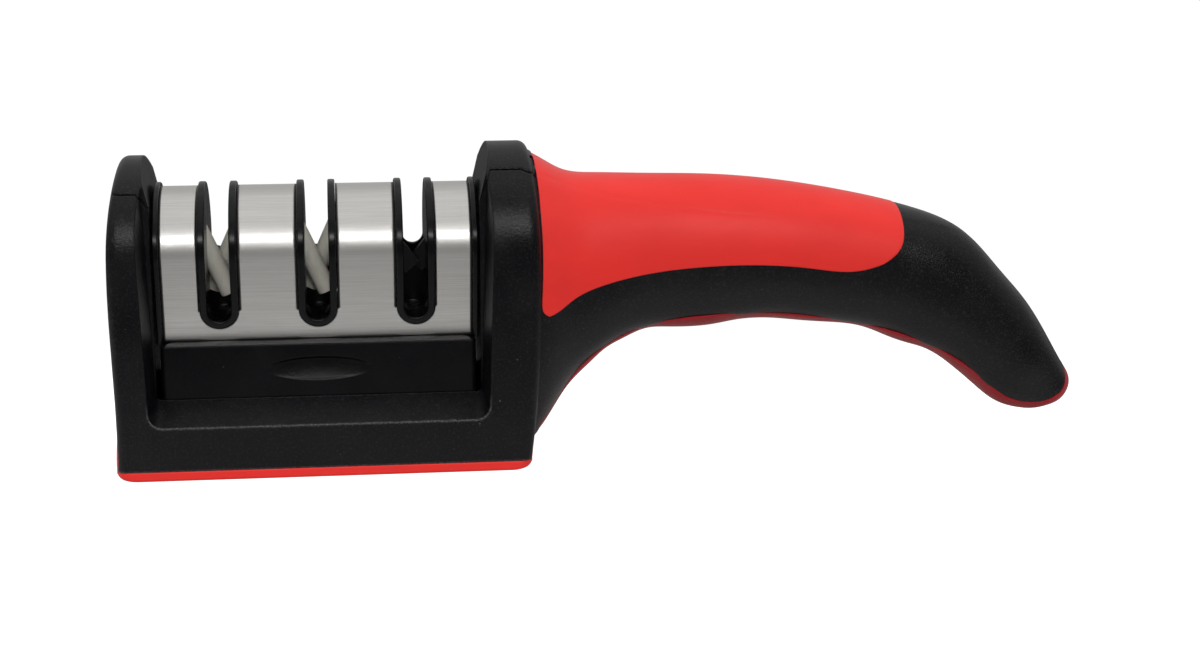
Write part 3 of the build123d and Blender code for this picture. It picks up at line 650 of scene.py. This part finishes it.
# Red grip over the handle: a patch between four curves of the side view, blended as a Coons patch in the
# handle's own place and angle: opposite sides mixed both ways, less the four corners mixed. It is mirrored to
# the back; its border rolls over a small radius into the shell, and a groove shows the parting line through it.
def topGrip():
    look = gripLook
    curves = {}
    for key in ("towerEdge", "lowEdge", "endEdge"):
        place, angle, rise = onHandleSide(sideCurve(look[key], count=1600))
        place, angle = place[rise < 1], angle[rise < 1]
        if key == "towerEdge":
            place, angle = np.append(place[0], place)[::-1], np.append(math.pi / 2, angle)[::-1]
        if key == "endEdge":
            place, angle = np.append(place, place[-1]), np.append(angle, math.pi / 2)
        curves[key] = (place, angle)
    along = crowded(look["columns"], look["edgeRound"] / look["long"])
    up = crowded(look["rows"], look["edgeRound"] / look["tall"], False)
    ridge = np.linspace(curves["towerEdge"][0][-1], curves["endEdge"][0][-1], 800)
    sides = (
        alongCurve(*curves["lowEdge"], along),
        alongCurve(ridge, np.full(len(ridge), math.pi / 2), along),
        alongCurve(*curves["towerEdge"], up),
        alongCurve(*curves["endEdge"], up),
    )
    a, u = np.meshgrid(along, up, indexing="ij")
    patch = []
    for low, top, left, right in zip(*sides):
        mixed = (1 - u) * low[:, None] + u * top[:, None] + (1 - a) * left + a * right
        corners = (1 - a) * ((1 - u) * low[0] + u * top[0]) + a * ((1 - u) * low[-1] + u * top[-1])
        patch.append(mixed - corners)
    place, angle = patch
    point = handlePoint(place, angle)
    lift = rolledIn(point, np.concatenate([point[:, 0], point[0], point[-1]]), look["edgeRound"])
    fade = easeStep((rightEnd + look["grooveTo"] - point[..., 0]) / look["grooveOut"])
    away = distanceTo(point[..., [0, 2]], partingLine[:300])  # the rest runs past the grip
    lift = lift - look["groove"] * fade * np.exp(-((away / look["grooveWidth"]) ** 2))
    front = handleSurface(place, angle, lift)
    sunk = handleSurface(place, angle, -look["skirt"])
    skirts = [np.stack([front[side], sunk[side]]) for side in (np.s_[:, 0], 0, -1)]
    grids = [grid * np.array([1, way, 1]) for grid in [front] + skirts for way in (1, -1)]
    pieceFromGrids("topGripSkin", grids, housingBody, ["top_grip"], gripRed, 60)


# Red strip under the neck and handle: at each place it spans the angles below its edge, and beyond the
# place where the edge turns back it covers the whole tip, closed by a low dome over the last section.
def underStrip():
    look = stripLook
    tail = np.linspace(lowerEdge[0][-1], 1, look["tailRows"])
    tailAngle = np.full(len(tail), lowerEdge[1][-1])
    topX, topZ, lowX, lowZ = handleSections[-1, :4]
    middle = np.array([(topX + lowX) / 2, 0, (topZ + lowZ) / 2])
    outward = np.array([topZ - lowZ, 0, lowX - topX])
    outward /= np.linalg.norm(outward)
    bumps = np.array(look["bumps"]).T
    bumpX = np.linspace(bumps[0, 0], bumps[0, -1], 600)
    heights = smoothThrough(*bumps, bumpX)[:, 0]
    half = crowded(look["columns"] // 2, look["edgeShare"], False)
    across = np.concatenate([half - 1, (1 - half)[::-1][1:]])
    grids = []
    for (edgePlace, edgeAngle), centreAngle, rows in (
        (lowerEdge, -math.pi / 2, look["rows"]),
        (upperEdge, math.pi / 2, look["tailRows"]),
    ):
        run = runAlong(handlePoint(edgePlace, edgeAngle)) + 1e-6 * np.arange(len(edgePlace))  # never level
        even = np.linspace(0, run[-1], rows)[:-1]
        rowPlace = np.concatenate([np.interp(even, run, edgePlace), tail])
        rowAngle = np.concatenate([np.interp(even, run, edgeAngle), tailAngle])
        place = np.repeat(rowPlace[:, None], len(across), 1)
        angle = centreAngle - across * (rowAngle[:, None] - centreAngle)
        point = handlePoint(place, angle)
        edged = point[: len(even)]
        lift = rolledIn(point, np.concatenate([edged[:, 0], edged[:, -1]]), look["edgeRound"])
        lift = lift + easeStep(-np.sin(angle) * look["bumpEnd"]) * np.interp(point[..., 0], bumpX, heights)
        lift = lift - look["tipSunk"] * easeStep((point[..., 0] - look["tip"]) / look["tipRun"])
        skin = handleSurface(place, angle, lift)
        sunk = handleSurface(place, angle, -look["skirt"])
        rim = skin[-1] - middle
        top = outward * look["tipDome"]
        dome = [middle + rim * k + top * math.sqrt(1 - k * k) for k in (0.94, 0.8, 0.6, 0.35, 0.0)]
        grids.append(np.concatenate([skin, dome]))
        grids += [np.stack([skin[: len(even), column], sunk[: len(even), column]]) for column in (0, -1)]
    pieceFromGrids("underGripSkin", grids, housingBody, ["under_grip"], stripRedPaintedShade, 60)


blackHandle()
topGrip()
underStrip()
print("handle made")


# Keeps a triangle that isn't on the handle's own surface, where |side|^n + |rise|^n is 1, because the handle's
# pieces show instead; beyond the tower's end nothing is kept.
def offTheHandle(corners):
    flat = corners.reshape(-1, 3)
    near = flat[:, 0] > rightEnd - 5.2  # past the handle's first section
    value = np.zeros(len(flat))
    place, angle, rise = onHandleSide(flat[near][:, [0, 2]])
    row = smoothThrough(sectionPlaces, handleSections, place)
    full = np.where(rise >= 0, row[:, 5], row[:, 6])
    value[near] = np.abs(flat[near][:, 1] / row[:, 4]) ** full + np.abs(rise) ** full
    onSkin = (np.abs(value - 1) < 0.03).reshape(-1, 3).all(1)
    beyond = (corners[..., 0] > rightEnd + 0.05).any(1)
    return ~(onSkin | beyond)


for name, node, slot, material, keep in (
    ("housingBlock", "main_housing", "black_moulding", housingBlack, offTheHandle),
    ("rightCap", "handle_cover", "black_moulding", housingBlack, offTheHandle),
    ("leftCap", "left_tower_cap", "black_moulding", housingBlack, None),
    ("basePlate", "base_plate", "black_moulding", plainBlack, None),
    ("baseScrews", "base_screws", "zinc_screws", screwZinc, None),
):
    copyOfNode(name, node, housingBody, material, keep)
print("housing made")


soleLook = dict(
    low=-43.35, high=45.35, halfDeep=22.15, corner=3.15, thick=2.1,
    round=0.6, endRound=2.0, topRound=0.25,
    # side, height, how far its upper end leans in, how far the top stands out from the sole's own end
    lips=[(-1, 10.0, 0.42, 0.0), (1, 5.2, 0.25, 0.32)],
    lipShown=0.55, lipThick=0.9, lipFlare=1.1, lipRound=0.25,
    lipLeansFrom=3.5, lipStandsOver=3.0, lipColumns=20,
)


# Sole: a rounded outline carried round a profile of (pulled in, height), flat below; its two ends are pulled
# in by a larger quarter round. A lip rises at each end.
def baseSole():
    look = soleLook
    centre = (look["low"] + look["high"]) / 2
    halfWide = (look["high"] - look["low"]) / 2
    deep = look["halfDeep"]
    r = look["round"]
    t = look["topRound"]
    profile = [(deep, 0.0), (12.0, 0.0), (4.0, 0.0), (1.2, 0.0)]
    profile += quarterRound(r, r, r, -90, 7)
    profile += [(0.0, height) for height in (0.8, 1.0, 1.2, 1.4, 1.6)]
    profile += quarterRound(t, look["thick"] - t, t, 180, 7)
    profile += [(2.5, look["thick"]), (deep, look["thick"])]
    rows = []
    for pulled, height in profile:
        x, y = roundedOutline(halfWide, deep, look["corner"], pulled, (60, 120), 14).T
        short = max(look["endRound"] - height, 0) / look["endRound"]
        narrowed = 1 - look["endRound"] * (1 - math.sqrt(1 - short**2)) / halfWide
        rows.append(np.column_stack([x * narrowed + centre, y, np.full(len(x), height)]))
    grids = [np.array(rows)] + [soleLip(*lip) for lip in look["lips"]]
    pieceFromGrids("soleSkin", grids, housingBody, ["base_sole"], gripRed, 50, True)


# Lip: at each height a line round the end, which starts part of the way round the front corner and ends as
# far round the back one; it starts sooner near the foot, so that the lip flares into the sole. Its border
# rolls in over a quarter circle.
def soleLip(side, top, leansIn, leansOut):
    look = soleLook
    c = look["corner"]
    straight = look["halfDeep"] - c
    flare = look["lipFlare"]
    foot = look["thick"]
    neck = foot + flare
    heights = np.concatenate([[1.5, 1.8], np.linspace(foot, neck, 12), np.linspace(neck, top, 26)[1:]])
    short = np.clip((neck - heights) / flare, 0, 1)
    shown = look["lipShown"] + flare * (1 - np.sqrt(1 - short**2))
    first = np.arcsin(1 - shown / c)[:, None]
    turn = first + (math.pi / 2 - first) * np.linspace(0, 1, 14)
    run = c * (turn - first)
    fall = np.clip((heights - look["lipLeansFrom"]) / (top - look["lipLeansFrom"]), 0, 1)[:, None]
    e = look["lipRound"]
    lift = np.sqrt(e**2 - np.clip(e - run, 0, e) ** 2) - e - leansIn * fall**1.5
    lean = leansOut * np.clip((heights - foot) / look["lipStandsOver"], 0, 1)[:, None]
    end = look["high"] if side > 0 else -look["low"]
    columns = look["lipColumns"]

    def lineAt(lift):
        x = end + lean - c + (c + lift) * np.sin(turn)
        y = -straight - (c + lift) * np.cos(turn)
        middle = np.linspace(-straight, straight, columns + 2)[None, 1:-1]
        x = np.concatenate([x, np.repeat(x[:, -1:], columns, 1), x[:, ::-1]], 1)
        y = np.concatenate([y, np.repeat(middle, len(heights), 0), -y[:, ::-1]], 1)
        return np.stack([side * x, y, np.repeat(heights[:, None], x.shape[1], 1)], -1)

    outer = lineAt(lift)
    inner = lineAt(np.full(lift.shape, -look["lipThick"]))
    loops = np.concatenate([outer, inner[::-1]]).transpose(1, 0, 2)
    shut = np.concatenate([inner, inner[::-1]]).transpose(1, 0, 2)
    return np.concatenate([shut[:1], loops, shut[-1:]])


baseSole()
print("sole made")


saddle = dict(
    footHalf=11.0, foot=28.1, shoulderHalf=14.37, shoulder=48.4, crown=59.9, round=8.5,
    steel=0.5, coverHalf=33.1, proud=0.9,
    half=34.4, flange=1.2, flangeFoot=3.0, flangeRound=0.3,
    skinFoot=27.6, skinTop=30.6, skinHalf=33.2, skinUnder=0.05,
    grainAxis=30.0, grainLength=80.0,  # height that the brushing turns about, and its length
)
slotLook = dict(
    centres=(-21.0, 0.0, 21.0), inner=2.55, outer=4.1, turn=34.85, gap=0.1,
    edgeRound=0.35, wallFoot=2.3, lowest=26.0, throughColumns=20,
    webFront=5.8, webBack=7.3, webTop=47.4, webRound=0.15, floor=32.5,
    notch=2.3, notchTurn=47.7,
)


# Widths of the saddle by height, for reading a width at a height below the shoulder.
def widthAt(heights, line):
    return np.interp(heights, line[:, 1], line[:, 0])


# Half of the saddle's cross-section from a low height up to the crown: a leaning line, a small round at the
# shoulder and an arc over the top, with the outward direction at each point. Growth moves it out along that.
def saddleHalf(growth, low, lineCount, roundCount, arcCount):
    s = saddle
    lineWay = np.array([s["shoulderHalf"] - s["footHalf"], s["shoulder"] - s["foot"]])
    lineWay /= np.linalg.norm(lineWay)
    lineOut = np.array([lineWay[1], -lineWay[0]])
    rise = s["crown"] - s["shoulder"]
    radius = (s["shoulderHalf"] ** 2 + rise**2) / (2 * rise)
    arcCentre = np.array([0.0, s["crown"] - radius])
    start = np.array([s["footHalf"], s["foot"]]) - s["round"] * lineOut - arcCentre
    b = start @ lineWay
    t = -b + math.sqrt(b * b - start @ start + (radius - s["round"]) ** 2)
    roundCentre = arcCentre + start + t * lineWay
    lineEnd = roundCentre + (s["round"] + growth) * lineOut
    lineStart = lineEnd + lineWay * (low - lineEnd[1]) / lineWay[1]
    share = np.linspace(0, 1, lineCount)[:, None]
    line = lineStart + (lineEnd - lineStart) * share
    first = math.atan2(lineOut[1], lineOut[0])
    toCentre = roundCentre - arcCentre
    last = math.atan2(toCentre[1], toCentre[0])
    turn = np.linspace(first, last, roundCount)[1:]
    small = roundCentre + (s["round"] + growth) * np.stack([np.cos(turn), np.sin(turn)], 1)
    sweep = np.linspace(last, math.pi / 2, arcCount)[1:]
    arc = arcCentre + (radius + growth) * np.stack([np.cos(sweep), np.sin(sweep)], 1)
    points = np.concatenate([line, small, arc])
    outward = np.concatenate([np.full(lineCount, first), turn, sweep])
    return points, outward


# Steel cover: the saddle's line carried along X in four lands, and below each slot the part under a
# half-round cut, whose columns stop at the cut; then a wall is added inwards. The map across the grain has
# the angle round X in one direction and X in the other.
def steelCover():
    look = slotLook
    foot = saddle["foot"]
    cut = look["outer"] + look["gap"]
    upper, _ = saddleHalf(0.0, look["turn"], 46, 9, 60)
    lower, _ = saddleHalf(0.0, foot, 300, 9, 2)
    share = np.linspace(0, 1, 15)
    heights = np.linspace(foot, look["turn"], len(share))
    below = np.column_stack([widthAt(heights, lower), heights])
    loop = bothSides(np.concatenate([below, upper[1:]]))
    cuts = [c + side * cut for c in look["centres"] for side in (-1, 1)]
    edges = [-saddle["coverHalf"]] + cuts + [saddle["coverHalf"]]
    grids = [carriedAlongX(np.linspace(a, b, 14), loop) for a, b in zip(edges[::2], edges[1::2])]
    turn = np.linspace(0, math.pi, 33)
    top = look["turn"] - cut * np.sin(turn)
    z = foot + (top[:, None] - foot) * share
    for c in look["centres"]:
        x = np.repeat((c - cut * np.cos(turn))[:, None], len(share), 1)
        grids += [np.stack([x, side * widthAt(z, lower), z], -1) for side in (-1, 1)]
    piece = pieceFromGrids("coverSkin", grids, cartridgeBody, ["steel_cover"], coverSteel, 50)
    mesh = piece.data
    corners = readRows(mesh.loops, "vertex_index", 1, int)[:, 0]
    x, y, z = readRows(mesh.vertices, "co", 3)[corners].T
    around = np.arctan2(y, z - saddle["grainAxis"] * mm) / 4 + 0.5
    along = x / (saddle["grainLength"] * mm) + 0.5
    layer = mesh.uv_layers.new(name="acrossGrain")
    layer.data.foreach_set("uv", np.column_stack([around, along]).ravel())
    wall = piece.modifiers.new("wall", "SOLIDIFY")
    wall.thickness = saddle["steel"] * mm
    wall.offset = -1
    wall.use_even_offset = True


# Section of a slot's wall or a flange as (distance from its inner face, depth under its proud face): up the
# outer face from the foot, round both edges of the proud face and on to the inner face.
def proudSection(wide, foot, r):
    outside = [(wide, foot), (wide, 1.2)] + quarterRound(wide - r, r, r, 0, 6)
    return np.array(outside + quarterRound(r, r, r, -90, 6))


# One row of a slot's wall: the section at the front, straight through to the back, and the section there.
def slotRow(x, y, z):
    columns = slotLook["throughColumns"]
    through = -y[-1] * np.linspace(-1, 1, columns + 2)[1:-1]
    straight = np.column_stack([np.full(columns, x[-1]), through, np.full(columns, z[-1])])
    return np.concatenate([np.column_stack([x, y, z]), straight, np.column_stack([x, -y, z])[::-1]])


# Frame: each slot is its wall's section carried round a U, down one wall, round the floor and up the other,
# where the two faces follow the saddle; flanges close the ends, and a band of skin shows under the steel.
def slotFrame():
    look = slotLook
    wide, deep = proudSection(look["outer"] - look["inner"], look["wallFoot"], look["edgeRound"]).T
    reach = look["inner"] + wide
    upper, outward = saddleHalf(saddle["proud"], look["turn"], 40, 9, 60)
    lower, _ = saddleHalf(saddle["proud"], look["lowest"], 200, 9, 2)
    wall = []
    for (y, z), out in zip(upper[::-1], np.clip(outward[::-1], 0, math.pi / 2)):
        wall.append((-np.maximum(y - deep * math.cos(out), 0), z - deep * math.sin(out)))
    grids = []
    for c in look["centres"]:
        rows = [slotRow(c - reach, y, z) for y, z in wall]
        for turn in np.linspace(0, math.pi, 41)[1:-1]:
            z = look["turn"] - reach * math.sin(turn)
            rows.append(slotRow(c - reach * math.cos(turn), deep - widthAt(z, lower), z))
        rows += [slotRow(c + reach, y, z) for y, z in wall[::-1]]
        grids += [np.array(rows), webGrid(c)]
    edge, edgeOut = saddleHalf(saddle["proud"], saddle["skinFoot"], 60, 9, 70)
    loop = bothSides(edge)
    outWay = bothSides(np.stack([np.cos(edgeOut), np.sin(edgeOut)], 1))
    for side in (-1, 1):
        rows = []
        for inwards, sunk in proudSection(saddle["flange"], saddle["flangeFoot"], saddle["flangeRound"]):
            x = np.full(len(loop), side * (saddle["half"] - inwards))
            rows.append(np.column_stack([x, loop - outWay * sunk]))
        hub = np.array([side * saddle["half"], 0.0, saddle["skinFoot"]])
        rim = rows[-1]
        rows += [hub + (rim - hub) * k for k in (0.9, 0.6, 0.3, 0.0)]
        grids.append(np.array(rows))
    skin, _ = saddleHalf(-saddle["steel"] - saddle["skinUnder"], saddle["skinFoot"], 40, 9, 60)
    skin = skin[skin[:, 1] < saddle["skinTop"]]
    x = np.linspace(-saddle["skinHalf"], saddle["skinHalf"], 60)
    grids += [carriedAlongX(x, skin * np.array([side, 1])) for side in (-1, 1)]
    pieceFromGrids("frameSkin", grids, cartridgeBody, ["slot_frame"], frameBlack, 45)


# Stop web across a slot: a plate whose top edge dips in a half-round notch, closed over its top and sides.
def webGrid(centre):
    look = slotLook
    e = look["webRound"]
    x = np.linspace(-look["inner"] - 0.1, look["inner"] + 0.1, 61)
    dip = look["notchTurn"] - np.sqrt(np.clip(look["notch"] ** 2 - x**2, 0, None))
    top = np.where(np.abs(x) < look["notch"], np.minimum(dip, look["webTop"]), look["webTop"])
    z = look["floor"] + (top[:, None] - e - look["floor"]) * np.linspace(0, 1, 12)
    x = np.repeat(x[:, None] + centre, z.shape[1], 1)
    front, back = (np.stack([x, np.full(z.shape, y), z], -1) for y in (look["webFront"], look["webBack"]))
    lids = [front[:, -1:] + np.array([0, e, e]), back[:, -1:] + np.array([0, -e, e])]
    return np.concatenate([front, *lids, back[:, ::-1]], 1)


trayLook = dict(
    halfWide=33.7, halfDeep=14.0, corner=1.0, low=7.3, top=27.55, edge=27.5, slope=28.1,
    topRound=0.25, wall=2.0, chamfer=0.6, footEdge=0.2,
    dimpleWide=11.2, dimpleTall=2.8, dimpleDeep=1.1, dimpleAt=21.9,
    dimpleFoot=0.15, dimpleLid=0.14,  # shares of its height over which it starts and ends
)


# Depth of the finger dimple: arch^2 climb (2 - climb), eased at both rims. Arch is the height of its oval at x
# as a share of the full one, and climb runs from 0 at the lower rim to 1 at the upper one.
def dimpleDepth(x, height):
    look = trayLook
    arch = np.sqrt(np.clip(1 - (x / look["dimpleWide"]) ** 2, 1e-6, 1))
    climb = np.clip(((height - look["dimpleAt"]) / (look["dimpleTall"] * arch) + 1) / 2, 0, 1)
    rims = easeStep(climb / look["dimpleFoot"]) * easeStep((1 - climb) / look["dimpleLid"])
    return look["dimpleDeep"] * arch**2 * climb * (2 - climb) * rims


# Tray: a rounded outline carried over a profile of (pulled in, height), open below, with an oval dimple in the
# front and in the back.
def cartridgeTray():
    look = trayLook
    r = look["topRound"]
    deep, low, top, wall = look["halfDeep"], look["low"], look["top"], look["wall"]
    ceiling = top - wall
    foot = low + look["footEdge"]
    profile = [(deep, ceiling), (8.0, ceiling), (wall + look["chamfer"], ceiling)]
    profile += [(wall, ceiling - look["chamfer"]), (wall, 16.0), (wall, foot)]
    profile += [(wall - look["footEdge"], low), (look["footEdge"], low), (0.0, foot), (0.0, 12.0), (0.0, 16.0)]
    profile += [(0.0, z) for z in np.arange(18.0, 25.4, 0.15)]
    profile += quarterRound(r, look["edge"] - r, r, 180, 7)
    profile += [(1.6, (look["edge"] + look["slope"]) / 2), (3.35, look["slope"]), (3.5, top), (deep, top)]
    rows = []
    for pulled, height in profile:
        x, y = roundedOutline(look["halfWide"], deep, look["corner"], pulled, (24, 260), 8).T
        push = dimpleDepth(x, height) if pulled == 0 else 0
        flat = np.abs(np.abs(y) - deep) < 1e-6
        y = np.where(flat, y - np.sign(y) * push, y)
        rows.append(np.column_stack([x, y, np.full(len(x), height)]))
    standsFor = ["cartridge_tray"]
    pieceFromGrids("traySkin", [np.array(rows)], cartridgeBody, standsFor, plainBlack, 45, True)


rodLook = dict(
    radius=2.1, half=9.2, edge=0.25, tilt=24.5, crossing=41.2, below=4.9, offset=2.4,
)


# Abrasive rod: a profile of (radius, height) turned about an axis that leans in the slot's plane.
def abrasiveRod(name, node, centre, side):
    look = rodLook
    e = look["edge"]
    half = look["half"]
    cap = [(0.0, half), (1.2, half)] + quarterRound(look["radius"] - e, half - e, e, 90, 5)
    flank = [(look["radius"], z) for z in np.linspace(half - e, e - half, 20)[1:-1]]
    radius, height = np.array(cap + flank + [(r, -z) for r, z in cap[::-1]]).T
    angle = np.linspace(0, 2 * math.pi, 57)[:-1, None]
    lean = side * math.radians(look["tilt"])
    along = np.array([math.sin(lean), 0, math.cos(lean)])
    across = np.array([math.cos(lean), 0, -math.sin(lean)])
    middle = np.array([centre, side * look["offset"], look["crossing"]]) + along * (half - look["below"])
    ring = np.cos(angle) * across + np.sin(angle) * np.array([0, 1, 0])
    grid = middle + height[:, None, None] * along + radius[:, None, None] * ring
    pieceFromGrids(name, [grid], cartridgeBody, [node], rodCeramic, 50, True)


steelCover()
slotFrame()
cartridgeTray()
for stage, centre in zip((1, 2), slotLook["centres"]):
    abrasiveRod(f"frontRod{stage}", f"stage_{stage}_front_rod", centre, -1)
    abrasiveRod(f"rearRod{stage}", f"stage_{stage}_rear_rod", centre, 1)
    copyOfNode(f"rodHolder{stage}", f"stage_{stage}_rod_holder", cartridgeBody, plainBlack)
for name, node, slot, material in (
    ("frontBlade", "carbide_blade_front", "carbide", bladeCarbide),
    ("rearBlade", "carbide_blade_rear", "carbide", bladeCarbide),
    ("bladeHolder", "carbide_blade_holder", "black_moulding", plainBlack),
    ("bladeScrews", "carbide_blade_screws", "zinc_screws", screwZinc),
    ("trayScrews", "cartridge_screws", "zinc_screws", screwZinc),
):
    copyOfNode(name, node, cartridgeBody, material)
print("cartridge made")


stageLook = dict(
    floorHalf=3.0,
    floorNear=(0.56, 0.56, 0.56, 1),
    floorFar=(0.10, 0.10, 0.10, 1),
    floorSpan=(0.05, 0.125),
    floorSqueeze=(0.35, 1.0, 0.0),
    floorGlow=0.93,
    skyForShade=0.76,
    # brightness at the two ends of a stretch of the direction's Z, or of its Y for the last, and those ends
    skyLow=(0.08, 0.05, 0.06, 0.24),
    skyHigh=(0.05, 0.36, 0.30, 0.85),
    skyBehind=(0.0, 0.42, 0.0, 0.5),
    lamps=[
        # name, place, aimed at, width, height, watts
        ("frontBox", (0.00, -0.82, 0.46), (0.05, 0.0, 0.03), 0.90, 0.15, 3.0),
        ("topBox", (0.05, 0.05, 0.95), (0.05, 0.0, 0.02), 1.6, 1.2, 1.8),
        ("leftBox", (-0.85, -0.25, 0.40), (0.0, 0.0, 0.03), 0.8, 0.8, 0.6),
        ("rightBox", (0.95, -0.15, 0.45), (0.08, 0.0, 0.03), 0.8, 0.8, 0.4),
    ],
    lens=66.24,
    cameraAt=(0.0060, -0.4802, 0.1339),
    cameraTurned=(77.5, 0, -6.7),
)


# One, where a ray comes from the camera; and one, where it comes from a reflection or through something clear.
def seenRays(tree):
    path = addNode(tree, "LightPath").outputs
    return path["Is Camera Ray"], mathNode(tree, "MAXIMUM", path["Is Glossy Ray"], path["Is Transmission Ray"])


# Floor: matt, light beside the object and dark further off, as squeezed along X, with a glow that only the
# camera sees and that makes it almost white; clear from below.
def addFloor():
    look = stageLook
    half = look["floorHalf"]
    corner = np.linspace(-half, half, 3)
    x, y = np.meshgrid(corner, corner, indexing="ij")
    mesh = bpy.data.meshes.new("floor")
    points = np.stack([x, y, np.zeros_like(x)], -1).reshape(-1, 3)
    mesh.from_pydata(points.tolist(), [], [(0, 3, 4, 1), (1, 4, 5, 2), (3, 6, 7, 4), (4, 7, 8, 5)])
    floor = addObject("floor", mesh)
    material = bpy.data.materials.new("paleFloor")
    material.use_nodes = True
    tree = material.node_tree
    tree.nodes.clear()
    place = addNode(tree, "TexCoord").outputs["Object"]
    squeezed = addNode(tree, "VectorMath", {0: place, 1: look["floorSqueeze"]}, operation="MULTIPLY").outputs[0]
    away = mapTo(tree, vectorNode(tree, "LENGTH", squeezed), 0.0, 1.0, *look["floorSpan"])
    matt = addNode(tree, "BsdfDiffuse", {"Color": mixColour(tree, away, look["floorNear"], look["floorFar"])})
    strength = mathNode(tree, "MULTIPLY", seenRays(tree)[0], look["floorGlow"])
    glow = addNode(tree, "Emission", {"Color": (1, 1, 1, 1), "Strength": strength})
    both = addNode(tree, "AddShader", {0: matt.outputs[0], 1: glow.outputs[0]})
    clear = addNode(tree, "BsdfTransparent")
    under = addNode(tree, "NewGeometry").outputs["Backfacing"]
    mixed = addNode(tree, "MixShader", {0: under, 1: both.outputs[0], 2: clear.outputs[0]})
    addNode(tree, "OutputMaterial", {"Surface": mixed.outputs[0]})
    mesh.materials.append(material)


# Surroundings: white to the camera; in reflections the brightest of three slopes, low down, high up and
# behind; and one even light for everything else.
def addSky():
    look = stageLook
    world = bpy.data.worlds.new("studio")
    world.use_nodes = True
    tree = world.node_tree
    tree.nodes.clear()
    direct, mirrored = seenRays(tree)
    way = addNode(tree, "TexCoord").outputs["Generated"]
    parts = addNode(tree, "SeparateXYZ", {"Vector": way}).outputs
    sky = mapTo(tree, parts["Z"], *look["skyLow"])
    sky = mathNode(tree, "MAXIMUM", sky, mapTo(tree, parts["Z"], *look["skyHigh"]))
    sky = mathNode(tree, "MAXIMUM", sky, mapTo(tree, parts["Y"], *look["skyBehind"]))
    other = mathNode(tree, "SUBTRACT", 1.0, mathNode(tree, "MAXIMUM", direct, mirrored))
    strength = mathNode(tree, "ADD", direct, mathNode(tree, "MULTIPLY", mirrored, sky))
    strength = mathNode(tree, "ADD", strength, mathNode(tree, "MULTIPLY", other, look["skyForShade"]))
    back = addNode(tree, "Background", {"Color": (1, 1, 1, 1), "Strength": strength})
    addNode(tree, "OutputWorld", {"Surface": back.outputs[0]})
    bpy.context.scene.world = world


# Soft boxes, each turned so that its face looks at the point it is aimed at.
def addLamps():
    for name, place, aim, wide, tall, watts in stageLook["lamps"]:
        data = bpy.data.lights.new(name, "AREA")
        data.shape = "RECTANGLE"
        data.size = wide
        data.size_y = tall
        data.energy = watts
        lamp = addObject(name, data)
        lamp.location = place
        way = np.array(aim) - np.array(place)
        down = math.acos(-way[2] / np.linalg.norm(way))
        lamp.rotation_euler = (down, 0, math.atan2(way[1], way[0]) - math.pi / 2)


def addCamera():
    data = bpy.data.cameras.new("camera")
    data.lens = stageLook["lens"]
    data.sensor_width = 36.0
    data.clip_start = 0.01
    camera = addObject("camera", data)
    camera.location = stageLook["cameraAt"]
    camera.rotation_euler = [math.radians(turn) for turn in stageLook["cameraTurned"]]
    bpy.context.scene.camera = camera


addFloor()
addSky()
addLamps()
addCamera()
bpy.context.scene.view_settings.view_transform = "Standard"
print("stage set")
